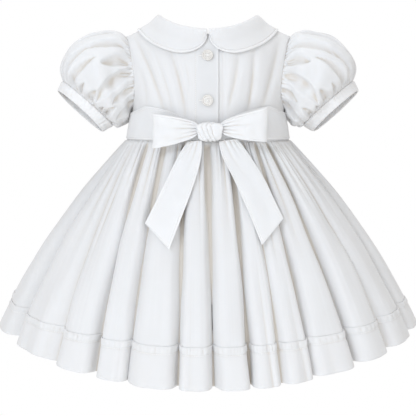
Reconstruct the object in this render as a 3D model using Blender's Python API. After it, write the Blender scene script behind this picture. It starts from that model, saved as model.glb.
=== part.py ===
"""Toddler dress, filled out as worn: round two-piece collar, puff sleeves on cuff bands,
buttoned back, sash tied in a bow, gathered skirt with a deep hem.

Frame: metres, +Z up. The origin is the middle of the neck opening at the height of the
neck points. The buttoned back faces -Y and the wearer's right is +X.

The bodice is drawn on one torso surface, with two coordinates: the girth angle, in degrees
from the centre back towards +X, and the drop, the way down the cloth from the shoulder line.
"""
from collections import namedtuple
from math import acos, asin, atan2, copysign, cos, degrees, pi, radians, sin, sqrt

import bmesh
import bpy
from mathutils import Matrix, Vector

MM = 0.001

# Cloth walls and the gap between two pieces
SEAM_GAP = 0.3 * MM
PANEL_WALL = 1.2 * MM
COLLAR_WALL = 1.8 * MM
CUFF_WALL = 2.0 * MM
SASH_WALL = 1.4 * MM
HEM_WALL = 1.8 * MM

# Torso
NECK_HALF_WIDTH = 60 * MM
NECK_POINT_HEIGHT = -6 * MM
SHOULDER_SLOPE = 0.465
SHOULDER_HALF_WIDTH = 104 * MM
CROWN_DROP = 65 * MM
CROWN_LENGTH = 98 * MM
PANEL_LENGTH = 188 * MM
TORSO_SQUARENESS = 2.4
WAIST_HEIGHT = -154 * MM
WAIST_TILT = 5 * MM
SIDE_SEAM_GIRTH = 79
SMALLEST_DROP = 0.4 * MM
NORMAL_STEP_GIRTH = 0.6
NORMAL_STEP_DROP = 0.8 * MM
BACK_NECK_DROP = 60 * MM
FRONT_NECK_DROP = 90 * MM

TorsoSection = namedtuple("TorsoSection", "height half_width back_depth front_depth")
TORSO_SECTIONS = (
    TorsoSection(-160 * MM, 104.5 * MM, 80 * MM, 80 * MM),
    TorsoSection(-130 * MM, 99.5 * MM, 80 * MM, 79 * MM),
    TorsoSection(-112 * MM, 96.8 * MM, 79 * MM, 78 * MM),
    TorsoSection(-90 * MM, 99 * MM, 78 * MM, 76 * MM),
    TorsoSection(-60 * MM, 104 * MM, 75 * MM, 70 * MM),
    TorsoSection(-30 * MM, 108 * MM, 71 * MM, 64 * MM),
    TorsoSection(10 * MM, 111 * MM, 68 * MM, 60 * MM),
)

# Armhole, from the shoulder tip down the back, under the arm and up the front
ArmholePoint = namedtuple("ArmholePoint", "girth drop")
ARMHOLE = (
    ArmholePoint(73, 0.4 * MM),
    ArmholePoint(65.5, 32 * MM),
    ArmholePoint(62, 62 * MM),
    ArmholePoint(61.8, 84 * MM),
    ArmholePoint(64.6, 104 * MM),
    ArmholePoint(70, 120 * MM),
    ArmholePoint(SIDE_SEAM_GIRTH, 129 * MM),
    ArmholePoint(92, 131 * MM),
    ArmholePoint(104, 124 * MM),
    ArmholePoint(114, 106 * MM),
    ArmholePoint(118, 84 * MM),
    ArmholePoint(118, 60 * MM),
    ArmholePoint(114.5, 32 * MM),
    ArmholePoint(107, 0.4 * MM),
)
ARMHOLE_BACK_STEPS = 8
ARMHOLE_FRONT_STEPS = 10
SIDE_SEAM_STEPS = 2
NECK_STEPS = 3
FRONT_NECK_STEPS = 8
SHOULDER_STEPS = 2

# Placket: the left back laps over the right back
LEFT_LAP = 13 * MM
RIGHT_LAP = 14 * MM
UNDERLAP_DEPTH = 1.9 * MM
UNDERLAP_RISE = 6 * MM
LAP_MARGIN = 3 * MM

# Collar: a ring sector round the neck with rounded ends
COLLAR_WIDTH = 28 * MM
COLLAR_END_GAP = 2.2 * MM
COLLAR_END_ROUND = 34 * MM
COLLAR_END_EDGE = 3 * MM
COLLAR_END_CROWDING = 0.52
COLLAR_STEPS = 22
CollarRow = namedtuple("CollarRow", "across lift")
COLLAR_ROWS = (
    CollarRow(-2.4 * MM, -1.0 * MM),
    CollarRow(-3.2 * MM, 3.4 * MM),
    CollarRow(-0.8 * MM, 7.8 * MM),
    CollarRow(5.0 * MM, 6.4 * MM),
    CollarRow(14.0 * MM, 3.2 * MM),
    CollarRow(COLLAR_WIDTH, 2.4 * MM),
)

# Sleeve: sections from the armhole to the cuff. lean turns a section from upright,
# tilt turns its far side outwards along the sleeve.
SleeveSection = namedtuple("SleeveSection", "out height depth lean tilt half_tall half_deep fold")
SLEEVE_SECTIONS = (
    SleeveSection(106 * MM, -71 * MM, -2 * MM, 8, 0, 50.5 * MM, 47 * MM, 0.6 * MM),
    SleeveSection(117.5 * MM, -74 * MM, -3 * MM, 14, 2, 55 * MM, 53 * MM, 1.2 * MM),
    SleeveSection(131 * MM, -79 * MM, -4 * MM, 22, 4, 56.5 * MM, 57 * MM, 1.5 * MM),
    SleeveSection(143.5 * MM, -88 * MM, -5 * MM, 32, 6, 54.5 * MM, 56 * MM, 1.5 * MM),
    SleeveSection(151.5 * MM, -98 * MM, -6 * MM, 42, 8, 50 * MM, 49 * MM, 1.2 * MM),
    SleeveSection(153.2 * MM, -107 * MM, -6 * MM, 48.5, 10, 42 * MM, 35 * MM, 0.4 * MM),
)
CUFF_MOUTH = SleeveSection(163.3 * MM, -117.8 * MM, -8 * MM, 47.5, 13, 37.5 * MM, 31 * MM, 0)
SLEEVE_STAND = 0.55 * PANEL_WALL
SLEEVE_MIDDLE_DEPTH = -2 * MM
SLEEVE_MIDDLE_HEIGHT = -70 * MM

# Sash over the back waist
SASH_SIDE_TOP = -107.5 * MM
SASH_KNOT_FALL = 30 * MM
SASH_FALL_SHAPE = 2.2
SASH_SIDE_OUT = 90 * MM
SASH_ARM_OUT = 80 * MM
SASH_ARM_SLOPE = 0.55
SASH_BOTTOM_CLEAR = 1.5 * MM
SASH_STEPS = 8
SASH_ROWS = 3
SASH_SIDE_LIFT = 2.1 * MM
SASH_KNOT_LIFT = 3.6 * MM

# Bow
KNOT_CENTRE = Vector((2 * MM, -92 * MM, -136.8 * MM))
KNOT_HALF_SIZE = Vector((15.2 * MM, 7.8 * MM, 11.4 * MM))
KNOT_SQUARENESS = 4.2
KNOT_PINCH = 0.18
KNOT_TURN_STEPS = 14
KNOT_ROWS = 7
BowLoop = namedtuple("BowLoop", "side start end start_height end_height start_half end_half")
BOW_LOOPS = {
    "left": BowLoop(-1, 13.6 * MM, 66.5 * MM, -133.6 * MM, -135.8 * MM, 3.6 * MM, 21.2 * MM),
    "right": BowLoop(1, 17.6 * MM, 71.5 * MM, -131.9 * MM, -128.2 * MM, 3.4 * MM, 20.9 * MM),
}
LOOP_OPENING_SHAPE = 0.5
LOOP_ROOT_CLEAR = 0.9 * MM
LoopPoint = namedtuple("LoopPoint", "along depth")
LOOP_PLAN = (
    LoopPoint(0.00, -94.0 * MM),
    LoopPoint(0.30, -97.0 * MM),
    LoopPoint(0.60, -98.0 * MM),
    LoopPoint(0.88, -95.5 * MM),
    LoopPoint(1.00, -90.5 * MM),
    LoopPoint(0.90, -86.2 * MM),
    LoopPoint(0.60, -85.4 * MM),
    LoopPoint(0.30, -85.9 * MM),
    LoopPoint(0.00, -86.8 * MM),
)
LOOP_STEPS = 16
LOOP_ROWS = 3
TailRow = namedtuple("TailRow", "inner_out inner_height outer_out outer_height")
BOW_TAILS = {
    "left": (-1, (
        TailRow(7.5 * MM, -149.6 * MM, 24.5 * MM, -150.6 * MM),
        TailRow(8 * MM, -166 * MM, 34.5 * MM, -164 * MM),
        TailRow(16 * MM, -196 * MM, 51 * MM, -196 * MM),
        TailRow(33 * MM, -240 * MM, 67 * MM, -228 * MM),
        TailRow(45.6 * MM, -271.7 * MM, 75 * MM, -243.5 * MM),
    )),
    "right": (1, (
        TailRow(13.2 * MM, -150.5 * MM, 35 * MM, -147.5 * MM),
        TailRow(17 * MM, -166 * MM, 49 * MM, -164 * MM),
        TailRow(31 * MM, -193 * MM, 68 * MM, -194 * MM),
        TailRow(50 * MM, -234 * MM, 83 * MM, -225 * MM),
        TailRow(63.5 * MM, -267.3 * MM, 90 * MM, -239 * MM),
    )),
}
TAIL_STEPS = 8
TAIL_COLUMNS = 4
TAIL_LIFT = 2.8 * MM
TAIL_ROOT_LIFT = 7 * MM
TAIL_ROOT_LENGTH = 45 * MM

# Skirt: folds between valleys, each valley running from the waist to the hem
WAIST_HALF_WIDTH = 104.5 * MM
WAIST_HALF_DEPTH = 80 * MM
HEM_HALF_WIDTH = 266 * MM
HEM_HALF_DEPTH = 193 * MM
HEM_SIDE_HEIGHT = -391 * MM
HEM_MIDDLE_FALL = 37 * MM
SKIRT_BULGE = 0.36
HEM_SEAM_SIDE_FALL = 0.86
HEM_SEAM_MIDDLE_FALL = 0.825
HEM_SEAM_CLEAR = 0.002
SKIRT_SHARES = (0.0, 0.12, 0.35, 0.66, 1.0)
FOLD_PHASES = (0.0, 0.13, 0.36, 0.64, 0.87)
SKIRT_SEAM_TRIM = 0.2
HEM_SEAM_TRIM = 0.3
FOLD_START = 0.16
FOLD_GROWTH = 0.8
VALLEY_SHARPNESS = 1.4
FOLD_OVERHANG = 0.3
Valley = namedtuple("Valley", "waist_girth hem_girth depth ridge sway")
BACK_VALLEYS = (
    Valley(-79, -66, 16 * MM, 7 * MM, 0),
    Valley(-60, -44, 4 * MM, 8 * MM, -3 * MM),
    Valley(-43, -31, 13 * MM, 7 * MM, 2 * MM),
    Valley(-27, -21.6, 12 * MM, 9 * MM, 3 * MM),
    Valley(-12, -7.6, 11 * MM, 8 * MM, -2 * MM),
    Valley(0, 1.4, 12 * MM, 8 * MM, 2 * MM),
    Valley(11, 11, 12 * MM, 8 * MM, 3 * MM),
    Valley(20, 19, 3 * MM, 8 * MM, 2 * MM),
    Valley(29, 28, 12 * MM, 7 * MM, 2 * MM),
    Valley(40, 42, 14 * MM, 8 * MM, 3 * MM),
    Valley(53, 56, 4 * MM, 7 * MM, 2 * MM),
)
FRONT_VALLEYS = (
    Valley(79, 73, 16 * MM, 7 * MM, 0),
    Valley(96, 92, 12 * MM, 7 * MM, 2 * MM),
    Valley(111, 107, 13 * MM, 8 * MM, -2 * MM),
    Valley(125, 121, 5 * MM, 8 * MM, 3 * MM),
    Valley(138, 135, 13 * MM, 8 * MM, 2 * MM),
    Valley(152, 149, 12 * MM, 9 * MM, -3 * MM),
    Valley(165, 163, 12 * MM, 8 * MM, 2 * MM),
    Valley(178, 177, 5 * MM, 8 * MM, 2 * MM),
    Valley(192, 191, 13 * MM, 8 * MM, -2 * MM),
    Valley(206, 206, 12 * MM, 9 * MM, 3 * MM),
    Valley(220, 221, 4 * MM, 8 * MM, 2 * MM),
    Valley(235, 237, 13 * MM, 8 * MM, -2 * MM),
    Valley(249, 253, 12 * MM, 7 * MM, 2 * MM),
    Valley(264, 272, 13 * MM, 7 * MM, 0),
)

# Buttons
BUTTON_RADIUS = 6.9 * MM
BUTTON_THICKNESS = 2.6 * MM
BUTTON_DISH = 0.8 * MM
BUTTON_RIM = 1.5 * MM
BUTTON_ROUNDING = 0.6 * MM
BUTTON_MERGE = 0.01 * MM
BUTTON_HOLE_RADIUS = 0.9 * MM
BUTTON_HOLE_OFFSET = 1.6 * MM
BUTTON_OUT = -0.6 * MM
BUTTON_HEIGHTS = {"upper": -46 * MM, "lower": -99.6 * MM}
BUTTON_SIDES = 20
BUTTON_HOLE_SIDES = 8

# Finishes
WHITE_COTTON = (0.88, 0.875, 0.86, 1)
WHITE_PEARL = (0.90, 0.885, 0.84, 1)


def material(name, color, roughness):
    """A Principled material for one sub-part."""
    made = bpy.data.materials.new(name)
    made.use_nodes = True
    made.diffuse_color = color
    shader = made.node_tree.nodes["Principled BSDF"]
    shader.inputs["Base Color"].default_value = color
    shader.inputs["Roughness"].default_value = roughness
    shader.inputs["Metallic"].default_value = 0
    return made


def cotton(name):
    return material(f"cotton_{name}", WHITE_COTTON, 0.85)


def add_object(name, mesh, finish):
    piece = bpy.data.objects.new(name, mesh)
    bpy.context.scene.collection.objects.link(piece)
    mesh.materials.append(finish)
    return piece


def add_sheet(name, rows, wall, around=False):
    """One cloth piece: a grid of points as a mid-surface, thickened to its wall."""
    shape = bmesh.new()
    grid = [[shape.verts.new(point) for point in row] for row in rows]
    columns = len(rows[0])
    last = columns if around else columns - 1
    for lower, upper in zip(grid, grid[1:]):
        for column in range(last):
            following = (column + 1) % columns
            shape.faces.new((lower[column], lower[following], upper[following], upper[column]))
    bmesh.ops.recalc_face_normals(shape, faces=shape.faces)
    mesh = bpy.data.meshes.new(name)
    shape.to_mesh(mesh)
    shape.free()
    mesh.shade_smooth()
    piece = add_object(name, mesh, cotton(name))
    cloth = piece.modifiers.new("cloth_wall", "SOLIDIFY")
    cloth.thickness = wall
    cloth.offset = 0
    return piece


def blend(start, end, share):
    return start + (end - start) * share


def smooth_read(rows, key, field, place):
    """Read a column of a table as one smooth curve over another column."""
    keys = [getattr(row, key) for row in rows]
    values = [getattr(row, field) for row in rows]
    place = min(max(place, keys[0]), keys[-1])
    index = max(i for i in range(len(keys) - 1) if keys[i] <= place or i == 0)

    def slope(i):
        before = max(i - 1, 0)
        after = min(i + 1, len(keys) - 1)
        return (values[after] - values[before]) / (keys[after] - keys[before])

    span = keys[index + 1] - keys[index]
    share = (place - keys[index]) / span
    start_weight = 2 * share**3 - 3 * share**2 + 1
    end_weight = 1 - start_weight
    start_slope = (share**3 - 2 * share**2 + share) * span * slope(index)
    end_slope = (share**3 - share**2) * span * slope(index + 1)
    return start_weight * values[index] + end_weight * values[index + 1] + start_slope + end_slope


def smooth_path(points, steps):
    """Points at equal steps of a smooth curve through a short list of coordinates."""
    last = len(points) - 1
    path = []
    for step in range(steps + 1):
        along = last * step / steps
        index = min(int(along), last - 1)
        share = along - index
        before = points[max(index - 1, 0)]
        start = points[index]
        end = points[index + 1]
        after = points[min(index + 2, last)]
        path.append(tuple(
            0.5 * (2 * b + (c - a) * share + (2 * a - 5 * b + 4 * c - d) * share**2
                   + (3 * b - a - 3 * c + d) * share**3)
            for a, b, c, d in zip(before, start, end, after)
        ))
    return path


# ---------------------------------------------------------------- torso

def shoulder_height(out):
    """Height of the shoulder line, carried on smoothly over the neck opening."""
    if out >= NECK_HALF_WIDTH:
        return NECK_POINT_HEIGHT - SHOULDER_SLOPE * (out - NECK_HALF_WIDTH)
    rise = SHOULDER_SLOPE * (NECK_HALF_WIDTH**2 - out**2) / (2 * NECK_HALF_WIDTH)
    return NECK_POINT_HEIGHT + rise


def girth_shares(girth):
    """Shares of the half width and of the half depth at a girth angle."""
    angle = radians(girth)
    across = copysign(abs(sin(angle)) ** (2 / TORSO_SQUARENESS), sin(angle))
    back = copysign(abs(cos(angle)) ** (2 / TORSO_SQUARENESS), cos(angle))
    return across, back


def torso_point(girth, drop):
    across, back = girth_shares(girth)
    crown_top = shoulder_height(SHOULDER_HALF_WIDTH * abs(across))
    waist = WAIST_HEIGHT + WAIST_TILT * back
    if drop < CROWN_LENGTH:
        turn = 0.5 * pi * drop / CROWN_LENGTH
        height = crown_top - CROWN_DROP * (1 - cos(turn))
        fullness = sin(turn)
    else:
        share = (drop - CROWN_LENGTH) / (PANEL_LENGTH - CROWN_LENGTH)
        height = blend(crown_top - CROWN_DROP, waist, share)
        fullness = 1
    half_width = smooth_read(TORSO_SECTIONS, "height", "half_width", height)
    side = "back_depth" if back > 0 else "front_depth"
    half_depth = smooth_read(TORSO_SECTIONS, "height", side, height)
    return Vector((half_width * across, -half_depth * back * fullness, height))


def torso_lifted(girth, drop, lift):
    """A torso point moved out from the cloth by lift."""
    around = torso_point(girth + NORMAL_STEP_GIRTH, drop) - torso_point(girth - NORMAL_STEP_GIRTH, drop)
    above = torso_point(girth, max(drop - NORMAL_STEP_DROP, 0))
    down = torso_point(girth, drop + NORMAL_STEP_DROP) - above
    outward = down.cross(around).normalized()
    return torso_point(girth, drop) + outward * lift


def girth_at(out, drop):
    """Girth angle on the back where the cloth is a distance out from the middle."""
    half_width = NECK_HALF_WIDTH * 1.8
    for _ in range(4):
        share = min(abs(out) / half_width, 1)
        girth = degrees(asin(share ** (TORSO_SQUARENESS / 2)))
        half_width = smooth_read(TORSO_SECTIONS, "height", "half_width", torso_point(girth, drop).z)
    return copysign(girth, out)


def drop_at(girth, height):
    """Way down the cloth to a height, at a girth angle."""
    across, back = girth_shares(girth)
    crown_top = shoulder_height(SHOULDER_HALF_WIDTH * abs(across))
    fall = crown_top - height
    if fall < CROWN_DROP:
        return CROWN_LENGTH * acos(1 - fall / CROWN_DROP) / (0.5 * pi)
    waist = WAIST_HEIGHT + WAIST_TILT * back
    share = (fall - CROWN_DROP) / (crown_top - CROWN_DROP - waist)
    return blend(CROWN_LENGTH, PANEL_LENGTH, share)


def neck_place(turn, across=0.0):
    """Girth and drop at a turn round the neck (0 centre back, 180 centre front)."""
    angle = radians(turn)
    neck_drop = BACK_NECK_DROP if cos(angle) > 0 else FRONT_NECK_DROP
    normal = Vector((sin(angle) / NECK_HALF_WIDTH, abs(cos(angle)) / neck_drop)).normalized()
    out = NECK_HALF_WIDTH * sin(angle) + across * normal.x
    drop = max(neck_drop * abs(cos(angle)) + across * normal.y, SMALLEST_DROP)
    girth = girth_at(out, drop)
    return (girth if cos(angle) > 0 else 180 - girth), drop


def armhole_places():
    """Girth and drop of the armhole's corner points, back part and front part."""
    back = [row for row in ARMHOLE if row.girth <= SIDE_SEAM_GIRTH]
    front = ARMHOLE[len(back) - 1:]
    return smooth_path(back, ARMHOLE_BACK_STEPS), smooth_path(front, ARMHOLE_FRONT_STEPS)


def fill_panel(left, right, bottom, top):
    """Girth and drop over a panel between four edges that share their corners."""
    rows = len(left) - 1
    columns = len(bottom) - 1
    grid = []
    for row in range(rows + 1):
        up = row / rows
        line = []
        for column in range(columns + 1):
            across = column / columns
            line.append(tuple(
                blend(left[row][k], right[row][k], across) + blend(bottom[column][k], top[column][k], up)
                - blend(blend(left[0][k], right[0][k], across), blend(left[-1][k], right[-1][k], across), up)
                for k in (0, 1)
            ))
        grid.append(line)
    return grid


def straight(start, end, steps):
    return [tuple(blend(a, b, step / steps) for a, b in zip(start, end)) for step in range(steps + 1)]


def back_panel_places(lap):
    """Girth and drop over a back panel, drawn on the +X side, from its placket edge out."""
    back_armhole, _ = armhole_places()
    seam_foot = (SIDE_SEAM_GIRTH, PANEL_LENGTH)
    side = straight(seam_foot, back_armhole[-1], SIDE_SEAM_STEPS)[:-1] + back_armhole[::-1]
    lap_turn = degrees(asin(lap / NECK_HALF_WIDTH))
    past_turn = degrees(asin((lap + LAP_MARGIN) / NECK_HALF_WIDTH))
    turns = [-lap_turn] + [blend(past_turn, 89, step / NECK_STEPS) for step in range(NECK_STEPS + 1)]
    neck = [neck_place(turn) for turn in turns]
    shoulder = straight(neck[-1], back_armhole[0], SHOULDER_STEPS)
    top = neck[:-1] + shoulder
    rows = len(side) - 1
    placket = []
    for row in range(rows + 1):
        drop = blend(PANEL_LENGTH, neck[0][1], row / rows)
        placket.append((girth_at(-lap, drop), drop))
    bottom = [(girth_at(-lap, PANEL_LENGTH), PANEL_LENGTH)]
    for column in range(len(top) - 1):
        out_share = column / (len(top) - 2)
        out = blend(lap + LAP_MARGIN, torso_point(SIDE_SEAM_GIRTH, PANEL_LENGTH).x, out_share)
        bottom.append((girth_at(out, PANEL_LENGTH), PANEL_LENGTH))
    return fill_panel(placket, side, bottom, top)


def build_back_panels():
    """Left back laps over; the right back dips under it at the placket."""
    left_rows = [
        [torso_point(-girth, drop) for girth, drop in line] for line in back_panel_places(LEFT_LAP)
    ]
    add_sheet("bodice_back_left", left_rows, PANEL_WALL)

    right_rows = []
    for line in back_panel_places(RIGHT_LAP):
        row = []
        for girth, drop in line:
            past_lap = torso_point(girth, drop).x - RIGHT_LAP - LAP_MARGIN
            rise = min(max(past_lap / UNDERLAP_RISE, 0), 1)
            row.append(torso_lifted(girth, drop, -UNDERLAP_DEPTH * (1 - rise)))
        right_rows.append(row)
    add_sheet("bodice_back_right", right_rows, PANEL_WALL)


def build_front_panel():
    """The front wraps round both sides to the side seams."""
    _, front_armhole = armhole_places()
    seam_gap = degrees(SEAM_GAP / WAIST_HALF_WIDTH) * 2.4
    seam_foot = (SIDE_SEAM_GIRTH + seam_gap, PANEL_LENGTH)
    armpit = (SIDE_SEAM_GIRTH + seam_gap, front_armhole[0][1])
    right = straight(seam_foot, armpit, SIDE_SEAM_STEPS) + front_armhole[1:]
    left = [(360 - girth, drop) for girth, drop in right]
    neck_turns = [blend(91, 269, step / FRONT_NECK_STEPS) for step in range(FRONT_NECK_STEPS + 1)]
    neck = []
    for turn in neck_turns:
        girth, drop = neck_place(turn if turn <= 180 else 360 - turn)
        neck.append((girth if turn <= 180 else 360 - girth, drop))
    shoulder = straight(right[-1], neck[0], SHOULDER_STEPS)
    far_shoulder = straight(neck[-1], left[-1], SHOULDER_STEPS)
    top = shoulder[:-1] + neck + far_shoulder[1:]
    bottom = [
        (blend(right[0][0], left[0][0], column / (len(top) - 1)), PANEL_LENGTH)
        for column in range(len(top))
    ]
    places = fill_panel(right, left, bottom, top)
    add_sheet("bodice_front", [[torso_point(*place) for place in line] for line in places], PANEL_WALL)


def build_collar(name, side):
    """Half a collar: it stands up at the neck seam, rolls over and lies on the shoulders."""
    end_turn = degrees(COLLAR_END_GAP / NECK_HALF_WIDTH)
    rows = [[] for _ in COLLAR_ROWS]
    for step in range(COLLAR_STEPS + 1):
        share = step / COLLAR_STEPS
        eased = share - COLLAR_END_CROWDING * sin(2 * pi * share) / (2 * pi)
        turn = blend(end_turn, 180 - end_turn, eased)
        from_end = min(turn - end_turn, 180 - end_turn - turn)
        along = radians(from_end) * (NECK_HALF_WIDTH + 0.5 * COLLAR_WIDTH)
        into_round = max(1 - along / COLLAR_END_ROUND, 0)
        width = blend(COLLAR_END_EDGE, COLLAR_WIDTH, sqrt(1 - into_round**2))
        for line, row in zip(rows, COLLAR_ROWS):
            across = row.across if row.across < 0 else row.across * width / COLLAR_WIDTH
            girth, drop = neck_place(turn, across)
            line.append(torso_lifted(girth, drop, row.lift))
    for line in rows:
        for point in line:
            point.x *= side
    add_sheet(name, rows, COLLAR_WALL)


# ---------------------------------------------------------------- sleeves

def sleeve_axis(section):
    """The way out along a sleeve at a section, drawn on the +X side."""
    lean = radians(section.lean)
    tilt = radians(section.tilt)
    return Vector((cos(lean) * cos(tilt), -sin(tilt), -sin(lean) * cos(tilt)))


def sleeve_ring_point(section, turn, inset=0.0, along=0.0):
    """Point of a section at a turn in degrees from its top towards the back."""
    lean = radians(section.lean)
    axis = sleeve_axis(section)
    upward = Vector((sin(lean), 0, cos(lean)))
    backward = axis.cross(upward)
    angle = radians(turn)
    centre = Vector((section.out, section.depth, section.height))
    up = upward * (section.half_tall - inset) * cos(angle)
    back = backward * (section.half_deep - inset) * sin(angle)
    return centre + up + back + axis * along


def armhole_ring():
    """The sleeve's first ring, standing on the panels' armhole edge, with its turns."""
    back, front = armhole_places()
    lift = 0.5 * PANEL_WALL + SEAM_GAP + SLEEVE_STAND
    corners = [torso_lifted(girth, drop, lift) for girth, drop in back + front[1:-1]]
    ring = []
    for corner, following in zip(corners, corners[1:] + corners[:1]):
        ring.append(corner)
        ring.append((corner + following) / 2)
    middle = SLEEVE_SECTIONS[0]
    turns = []
    for point in ring:
        upward = (point.z - SLEEVE_MIDDLE_HEIGHT) / middle.half_tall
        backward = (SLEEVE_MIDDLE_DEPTH - point.y) / middle.half_deep
        turns.append(degrees(atan2(backward, upward)))
    return ring, turns


def build_sleeve(side_name, side):
    """Puff sleeve with gather folds, and its cuff band."""
    ring, turns = armhole_ring()
    rows = [ring]
    for section in SLEEVE_SECTIONS:
        rows.append([
            sleeve_ring_point(section, turn, inset=section.fold * (1 if index % 2 else -1))
            for index, turn in enumerate(turns)
        ])
    seam = SLEEVE_SECTIONS[-1]
    band_start = SEAM_GAP + 0.5 * CUFF_WALL
    cuff_rows = [
        [sleeve_ring_point(seam, turn, along=band_start) for turn in turns],
        [sleeve_ring_point(CUFF_MOUTH, turn) for turn in turns],
    ]
    for line in rows + cuff_rows:
        for point in line:
            point.x *= side
    add_sheet(f"sleeve_{side_name}", rows, PANEL_WALL, around=True)
    add_sheet(f"cuff_{side_name}", cuff_rows, CUFF_WALL, around=True)


# ---------------------------------------------------------------- sash and bow

def build_sash(side_name, loop):
    """Half the sash, from the side seam to the knot, narrowing as it goes in."""
    knot_out = loop.start + SEAM_GAP
    side_out = torso_point(SIDE_SEAM_GIRTH - 1, PANEL_LENGTH).x
    rows = [[] for _ in range(SASH_ROWS + 1)]
    for step in range(SASH_STEPS + 1):
        inward = step / SASH_STEPS
        out = blend(side_out, knot_out, inward)
        girth = girth_at(out, PANEL_LENGTH)
        fall = max(1 - out / SASH_SIDE_OUT, 0) ** SASH_FALL_SHAPE
        under_arm = max(out - SASH_ARM_OUT, 0) * SASH_ARM_SLOPE
        top = drop_at(girth, SASH_SIDE_TOP - SASH_KNOT_FALL * fall - under_arm)
        bottom = PANEL_LENGTH - SASH_BOTTOM_CLEAR
        lift = blend(SASH_SIDE_LIFT, SASH_KNOT_LIFT, inward)
        for index, line in enumerate(rows):
            drop = blend(bottom, top, index / SASH_ROWS)
            line.append(torso_lifted(loop.side * girth, drop, lift))
    add_sheet(f"sash_{side_name}", rows, SASH_WALL)


def build_knot():
    """The knot: one rounded wrap of cloth, pinched where the loops leave it."""
    bpy.ops.mesh.primitive_uv_sphere_add(segments=KNOT_TURN_STEPS, ring_count=KNOT_ROWS, radius=1)
    piece = bpy.context.object
    piece.name = "bow_knot"
    piece.data.name = "bow_knot"
    for vertex in piece.data.vertices:
        fullness = sum(abs(value) ** KNOT_SQUARENESS for value in vertex.co) ** (1 / KNOT_SQUARENESS)
        place = vertex.co / fullness
        pinch = 1 - KNOT_PINCH * place.x**2
        place = Vector((place.x * KNOT_HALF_SIZE.x, place.y * KNOT_HALF_SIZE.y,
                        place.z * KNOT_HALF_SIZE.z * pinch))
        vertex.co = place
    piece.location = KNOT_CENTRE
    piece.data.materials.append(cotton("bow_knot"))
    piece.data.shade_smooth()


def build_loop(side_name, loop):
    """A bow loop: the strip goes out in front, turns and comes back behind."""
    plan = smooth_path(LOOP_PLAN, LOOP_STEPS)
    rows = []
    for along, depth in plan:
        out = blend(loop.start + LOOP_ROOT_CLEAR, loop.end, along)
        opening = max(along, 0) ** LOOP_OPENING_SHAPE
        middle = blend(loop.start_height, loop.end_height, along)
        half = blend(loop.start_half, loop.end_half, opening)
        rows.append([
            Vector((loop.side * out, depth, middle + half * (2 * row / LOOP_ROWS - 1)))
            for row in range(LOOP_ROWS + 1)
        ])
    add_sheet(f"bow_loop_{side_name}", rows, SASH_WALL)


def skirt_front_of(out, height, lift):
    """Depth just outside the skirt's back ridges at a place across and a height."""
    waist = WAIST_HEIGHT + WAIST_TILT
    hem = HEM_SIDE_HEIGHT - HEM_MIDDLE_FALL
    fall = (waist - height) / (waist - hem)
    flare = skirt_flare(max(fall, 0))
    half_width = blend(WAIST_HALF_WIDTH, HEM_HALF_WIDTH, flare)
    half_depth = blend(WAIST_HALF_DEPTH, HEM_HALF_DEPTH, flare)
    squareness = blend(TORSO_SQUARENESS, 2, flare)
    base = half_depth * (1 - (out / half_width) ** squareness) ** (1 / squareness)
    ridge = max(valley.ridge for valley in BACK_VALLEYS) * fold_size(max(fall, 0))
    return -(base + ridge + lift)


def build_tail(side_name, side, table):
    """A free end of the sash, lying down over the skirt's ridges to its slanted cut."""
    edges = smooth_path(table, TAIL_STEPS)
    root = max(table[0].inner_height, table[0].outer_height)
    rows = []
    for inner_out, inner_height, outer_out, outer_height in edges:
        line = []
        for column in range(TAIL_COLUMNS + 1):
            share = column / TAIL_COLUMNS
            out = blend(inner_out, outer_out, share)
            height = blend(inner_height, outer_height, share)
            near_root = max(1 - (root - height) / TAIL_ROOT_LENGTH, 0)
            lift = TAIL_LIFT + TAIL_ROOT_LIFT * near_root**2
            line.append(Vector((side * out, skirt_front_of(out, height, lift), height)))
        rows.append(line)
    add_sheet(f"bow_tail_{side_name}", rows, SASH_WALL)


# ---------------------------------------------------------------- skirt

def skirt_flare(fall):
    """Share of the flare reached at a share of the way down: the gathers push it out."""
    return fall + SKIRT_BULGE * fall * (1 - fall)


def fold_size(fall):
    return FOLD_START + (1 - FOLD_START) * fall**FOLD_GROWTH


def skirt_point(valley, following, phase, fall):
    """Point of the skirt between two valleys, at a phase across the fold and a fall."""
    waist_across, waist_back = girth_shares(blend(valley.waist_girth, following.waist_girth, phase))
    hem_angle = radians(blend(valley.hem_girth, following.hem_girth, phase))
    flare = skirt_flare(fall)
    out = blend(WAIST_HALF_WIDTH * waist_across, HEM_HALF_WIDTH * sin(hem_angle), flare)
    back = blend(WAIST_HALF_DEPTH * waist_back, HEM_HALF_DEPTH * cos(hem_angle), flare)
    waist_height = WAIST_HEIGHT + WAIST_TILT * waist_back - SEAM_GAP - 0.5 * PANEL_WALL
    hem_height = HEM_SIDE_HEIGHT - HEM_MIDDLE_FALL * cos(hem_angle) ** 2
    height = blend(waist_height, hem_height, fall)

    outward = Vector((sin(hem_angle) / HEM_HALF_WIDTH, -cos(hem_angle) / HEM_HALF_DEPTH, 0))
    outward.normalize()
    around = Vector((-outward.y, outward.x, 0))
    depth = blend(valley.depth, following.depth, 0 if phase < 0.5 else 1)
    crest = sin(pi * phase)
    push = valley.ridge - (valley.ridge + depth) * (1 - crest) ** VALLEY_SHARPNESS
    overhang = FOLD_OVERHANG * depth * sin(2 * pi * phase)
    size = fold_size(fall)
    shift = outward * push * size + around * (valley.sway * crest - overhang) * size * fall
    return Vector((out, -back, height)) + shift


def hem_seam_fall(hem_girth):
    """Share of the way down where the deep hem is stitched."""
    return blend(HEM_SEAM_SIDE_FALL, HEM_SEAM_MIDDLE_FALL, cos(radians(hem_girth)) ** 2)


def skirt_fall(share, hem_girth):
    return share * hem_seam_fall(hem_girth)


def hem_fall(share, hem_girth):
    return blend(hem_seam_fall(hem_girth) + HEM_SEAM_CLEAR, 1.0, share)


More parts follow.
